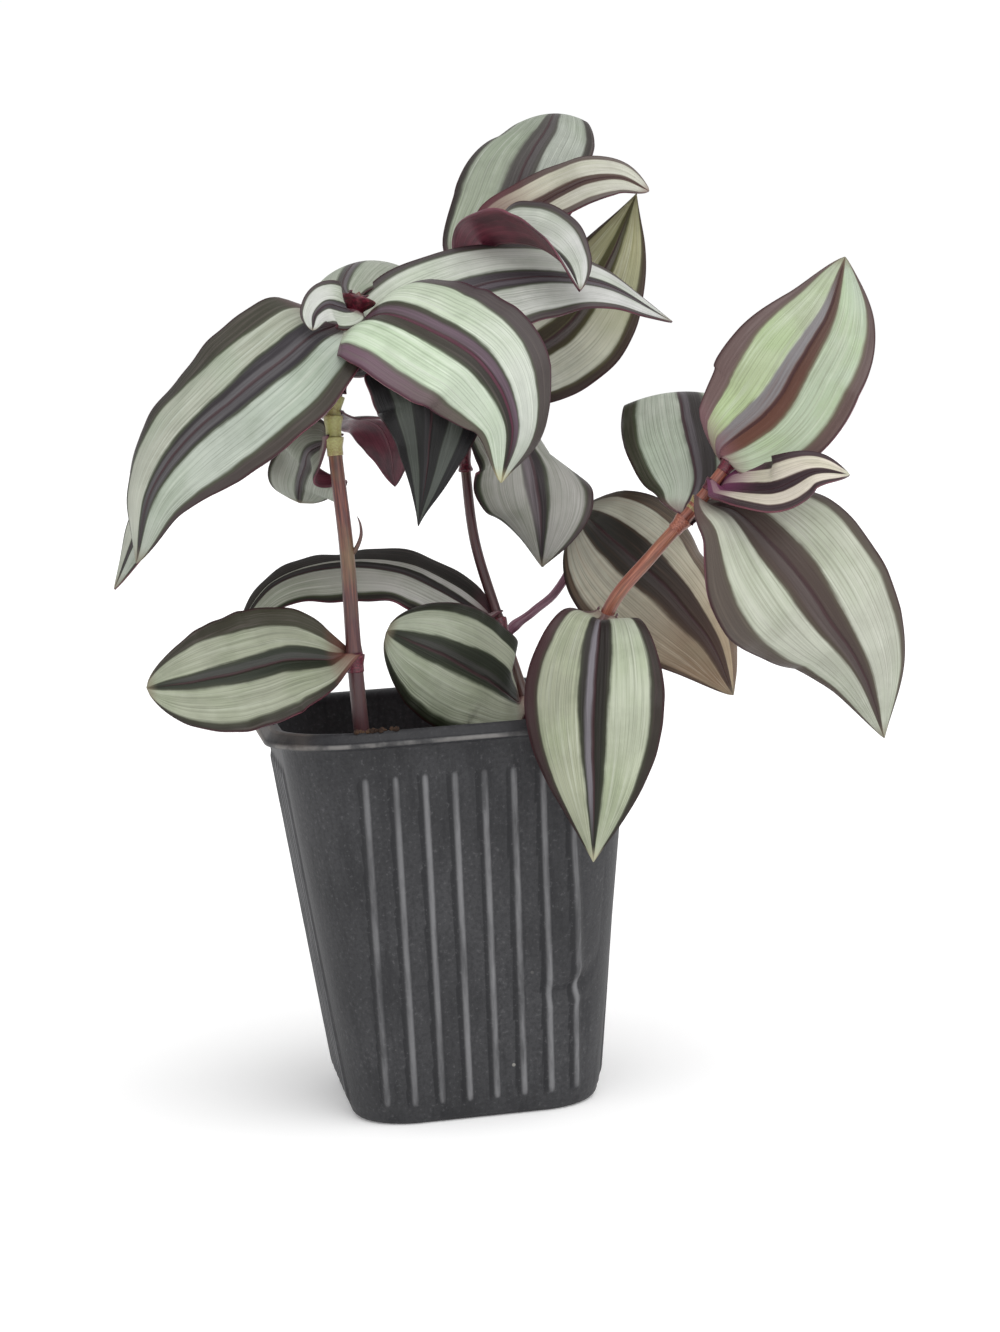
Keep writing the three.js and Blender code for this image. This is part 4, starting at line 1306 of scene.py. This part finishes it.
LEAVES = (
    Leaf("front_leaf_1", "stem_front", 110, 30,
         ((-38, -32, 111.5), (-46, -34, 110.5), (-58, -35.5, 109), (-71, -35, 108)),
         ((0, -0.8, 0.6), (-0.2, -0.8, 0.5), (-0.2, -0.9, 0.4)), (20, 5, 0), (5, 10, 20), (0.6, 0.68),
         LeafColour.LAUREL, sheath=3),
    Leaf("front_leaf_2", "stem_front", 160, 22,
         ((-29, -17, 158), (-30, -12, 154), (-31, -7, 150), (-31, -3, 146)),
         ((-0.2, -0.8, 0.5), (-0.2, -0.9, 0.4), (-0.2, -0.9, 0.3)), (5, 0, 0), (15, 25, 25), (0.5, 0.4),
         LeafColour.GREY, sheath=3.2, sheath_tone="green"),
    Leaf("front_leaf_3", "stem_front", 165, 18,
         ((-17, -9, 165), (-10.5, 4, 163), (-7, 11, 157), (-6, 14, 147.5)),
         ((0.2, 0.2, 1), (0.3, 0.4, 0.9), (0.3, 0.9, 0.2)), (20, 5, 0), (20, 30, 30), (0.7, 0.85),
         LeafColour.SILVER, sheath=4, sheath_tone="green"),
    Leaf("front_leaf_4", "stem_front", 169.5, 26,
         ((-31, -6, 178), (-51, -2, 167), (-66, -6, 148), (-76, -10, 129)),
         ((-0.2, -0.4, 0.9), (-0.5, -0.5, 0.7), (-0.7, -0.5, 0.3)), (15, 5, 0), (20, 30, 30),
         colour=LeafColour.SILVER, sheath=4, sheath_tone="green"),
    # this leaf's finish is darkened all over as painted shade
    Leaf("front_leaf_5", "stem_front", 174, 27,
         ((-11, -28, 178), (-3, -34, 169), (-4, -35, 155), (-7, -33, 140)),
         ((0.1, -0.2, 1), (0.3, -0.7, 0.6), (-0.3, -0.8, 0.5), (-0.3, -0.9, 0.2)), (20, 5, 0), (15, 25, 40),
         (0.7, 1.3), LeafColour.SILVER_IN_PAINTED_SHADE),
    Leaf("front_leaf_6", "stem_front", 185.5, 41,
         ((-11, -31, 188), (-1, -38, 183), (9, -43, 175), (14, -45, 162), (11, -43, 149)),
         ((0, -0.5, 0.8), (0.1, -0.7, 0.7), (0, -0.9, 0.4), (0.4, -0.9, 0.2)), (25, 5, 0), (55, 15, 50),
         (0.35, 0.87), LeafColour.MINT),
    Leaf("front_leaf_7", "stem_front", 185, 39,
         ((-27, -28.5, 184.5), (-36, -31, 178.5), (-47, -33, 171), (-58.5, -34, 162), (-67, -34, 151),
          (-71, -32, 136)),
         ((-0.1, -0.6, 0.8), (-0.2, -0.7, 0.7), (-0.4, -0.8, 0.5), (-0.7, -0.7, 0.3)), (20, 0, 0),
         (20, 20, 40), (0.36, 0.86), LeafColour.SILVER),
    Leaf("front_leaf_8", "stem_front", 181.5, 31,
         ((1, -15, 190), (21, -12, 195), (42, -12, 193), (60, -10, 183)),
         ((0, -0.5, 0.9), (0, -0.7, 0.7), (-0.1, -0.4, 0.9)), (20, 5, 0), (10, 20, 5), (0.5, 0.87),
         LeafColour.PALE),
    Leaf("front_leaf_9", "stem_front", 191.4, 24,
         ((-18, -9, 196), (-13, 4, 201.5), (-8, 16, 200.5), (-2, 29, 194)),
         ((0, -0.2, 1), (-0.1, 0.1, 1), (0.1, 0.6, 0.7)), (5, 0, 0), (20, 45, 45), (1, 0.85),
         LeafColour.GREY, sheath=4.4, flare=2.6),
    Leaf("front_leaf_10", "stem_front", 188.5, 12,
         ((-20, -27, 190), (-24, -30.5, 191), (-27, -31.5, 189), (-28, -32, 185.5)),
         ((0, -0.8, 0.6), (0, -1, 0.3), (-0.1, -1, 0.1)), (20, 10, 0), (10, 10, 10), (0.4, 0.7),
         LeafColour.PALE, ripple=0),
    Leaf("middle_leaf_1", "stem_middle", 93, 32,
         ((14, -12, 97.5), (9.5, -14, 101.5), (2.5, -16, 106), (-5, -17, 110.5), (-14, -17.5, 115)),
         ((0, -0.8, 0.6), (-0.2, -0.9, 0.4), (-0.2, -0.9, 0.4)), (10, 5, 0), (30, 35, 50), (0.6, 0.58),
         LeafColour.FERN, sheath=5),
    Leaf("middle_leaf_2", "stem_middle", 113, 28,
         ((2.5, 2.5, 121.5), (-9, 1.5, 127.5), (-24, -1, 129.5), (-38.5, -3.5, 126.5), (-48.5, -5, 116)),
         ((0, -0.5, 0.9), (-0.1, -0.4, 0.9), (-0.4, -0.5, 0.8)), (15, 5, 0), (15, 30, 35), (0.5, 0.85),
         LeafColour.ARCH, sheath=5),
    Leaf("middle_leaf_3", "stem_middle", 155, 31,
         ((13, -1, 163), (23, -8, 155), (25, -12, 142), (25, -11, 127)),
         ((0, -0.6, 0.8), (0.4, -0.6, 0.7), (-0.8, -0.6, 0)), (20, 5, 0), (20, 55, 25), (1.4, 1),
         LeafColour.ASH, sheath=5),
    Leaf("middle_leaf_4", "stem_middle", 171, 31,
         ((25, 12, 176), (40, 13, 185), (50, 12, 199), (58, 12, 215)),
         ((0, -1, 0.2), (-0.1, -0.9, 0.5), (-0.2, -0.8, 0.6)), (10, 5, 0), (15, 25, 35), (0.75, 1.1),
         LeafColour.OLIVE, sheath=5, sheath_tone="green"),
    Leaf("middle_leaf_5", "stem_middle", 195.4, 23,
         ((19.5, -1.5, 203.5), (27.5, -12.5, 202.5), (32.5, -21, 197.5), (34.5, -28, 191)),
         ((0, -0.35, 1), (0.1, -0.4, 1), (0.5, -0.5, 0.7)), (40, 55, 30), (5, 5, 10), (0.7, 0.85),
         LeafColour.PALE, ripple=0.3),
    Leaf("middle_leaf_6", "stem_middle", 200.5, 32,
         ((20, 19, 205), (27.5, 22, 214), (33.5, 26, 225), (40, 32, 233), (45, 43, 238), (47, 53, 231)),
         ((-0.5, -0.7, 0.5), (-0.4, -0.9, 0.3), (0, -0.4, 0.9), (0.1, 0.3, 0.9)), (20, 10, 0, 0),
         (20, 30, 30, 30), (0.6, 0.95), LeafColour.PEWTER, ripple=0.15),
    Leaf("middle_leaf_7", "stem_middle", 204.6, 18,
         ((25, 14.5, 210), (32.5, 13.5, 213), (39, 11.5, 216), (45.5, 8.5, 218.5), (53, 6.5, 218.5),
          (59.5, 5, 215)),
         ((-0.2, -0.7, 0.7), (-0.1, -0.7, 0.7), (0.4, -0.8, 0.4)), (20, 15, 10), (10, 15, 25), (0.5, 0.7),
         LeafColour.BLUSH, ripple=0.2),
    Leaf("right_leaf_1", "stem_right", 115, 32,
         ((31, -46, 115), (27, -55, 100), (25, -60, 82), (24, -59, 64)),
         ((0, -0.7, 0.7), (-0.3, -0.9, 0.3), (-0.4, -0.9, 0)), (20, 10, 5), (0, 35, 45), (0.95, 1.1),
         LeafColour.HEART, sheath=5, sheath_tone="peach"),
    Leaf("right_leaf_2", "stem_right", 136.8, 31,
         ((59, -29, 146), (60, -17, 159), (62, -4, 166), (64, 9, 163), (66, 19, 155)),
         ((-0.4, -0.8, 0.6), (-0.3, -0.7, 0.8), (0, 0, 1), (0.1, 0.6, 0.8)), (0, 0, 0, 0), (15, 25, 25, 25),
         (0.7, 0.85), LeafColour.MOSS, sheath=2.5, sheath_tone="peach"),
    Leaf("right_leaf_3", "stem_right", 140.8, 44,
         ((64.5, -46, 138.5), (74.5, -50, 126.5), (84, -49, 113), (92, -47, 100), (97, -44, 84)),
         ((0.3, -0.3, 0.9), (0, -0.9, 0.5), (-0.5, -0.9, 0.2), (-0.2, -1, 0)), (20, 5, 0), (30, 40, 40),
         (0.5, 1.05), LeafColour.TAWNY, sheath=2, sheath_tone="green"),
    Leaf("right_leaf_4", "stem_right", 144.7, 17,
         ((70, -54.5, 143.5), (79, -59, 147), (87, -60, 146)),
         ((0, -0.8, 0.7), (0.1, -0.8, 0.6), (0.3, -0.8, 0.6)), (25, 20, 20), (10, 10, 10), (0.45, 0.8),
         LeafColour.CREAM, ripple=0.15),
    Leaf("right_leaf_5", "stem_right", 149, 35,
         ((62.5, -38.5, 152.5), (73.5, -42, 160.5), (82, -42.5, 172), (90, -40, 183), (95.5, -36, 195)),
         ((-0.4, -0.9, 0.3), (-0.3, -0.8, 0.5), (0, -0.9, 0.4)), (12, 8, 0), (5, 5, 30), (0.55, 0.85),
         LeafColour.FRESH, ripple=0),
    Leaf("short_leaf_1", "stem_short", 136, 41,
         ((41, 7, 136), (50.5, 3, 126), (59.5, 2, 116.5), (68, 1, 104), (73, 2, 91)),
         ((-0.2, -0.9, 0.5), (0.1, -0.8, 0.5), (0.3, -0.8, 0.5)), (15, 5, 0), (25, 45, 30), (0.6, 0.9),
         LeafColour.BRONZE, sheath=4),
)
BUD = ((-22, -26, 134), (-20.6, -26.8, 136), (-19.6, -27.2, 138.5), (-19.6, -27.2, 141), (-20.2, -27, 143))
BUD_RADIUS = 0.6


def build_bud(paints: Paints) -> None:
    """Makes the small bud that curls out of the front stem."""

    def radius(t: float) -> float:
        """Radius at 0..1 of the length, rounded off towards the end."""
        return BUD_RADIUS * math.sqrt(clamp(ROUND_END - t)) if t > 0 else 0.0

    bud = tube(smooth_path(BUD, 16), radius, "front_bud", paints.stem["deep"], 12)
    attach(bud, "root")


def main() -> None:
    """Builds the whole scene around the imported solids."""
    logging.basicConfig(level=logging.INFO, format="%(message)s")
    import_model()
    studio = Studio()
    studio.camera()
    studio.floor()
    studio.light()
    paints = Paints()
    pot = Pot()
    pot.build(paints)
    Soil(pot).build(paints)
    stems = {shoot.name: shoot for shoot in SHOOTS}
    for shoot in SHOOTS:
        shoot.build(paints)
    for leaf in LEAVES:
        leaf.build(stems[leaf.stem], paints)
    build_bud(paints)
    bpy.context.view_layer.update()


if __name__ == "__main__":
    main()
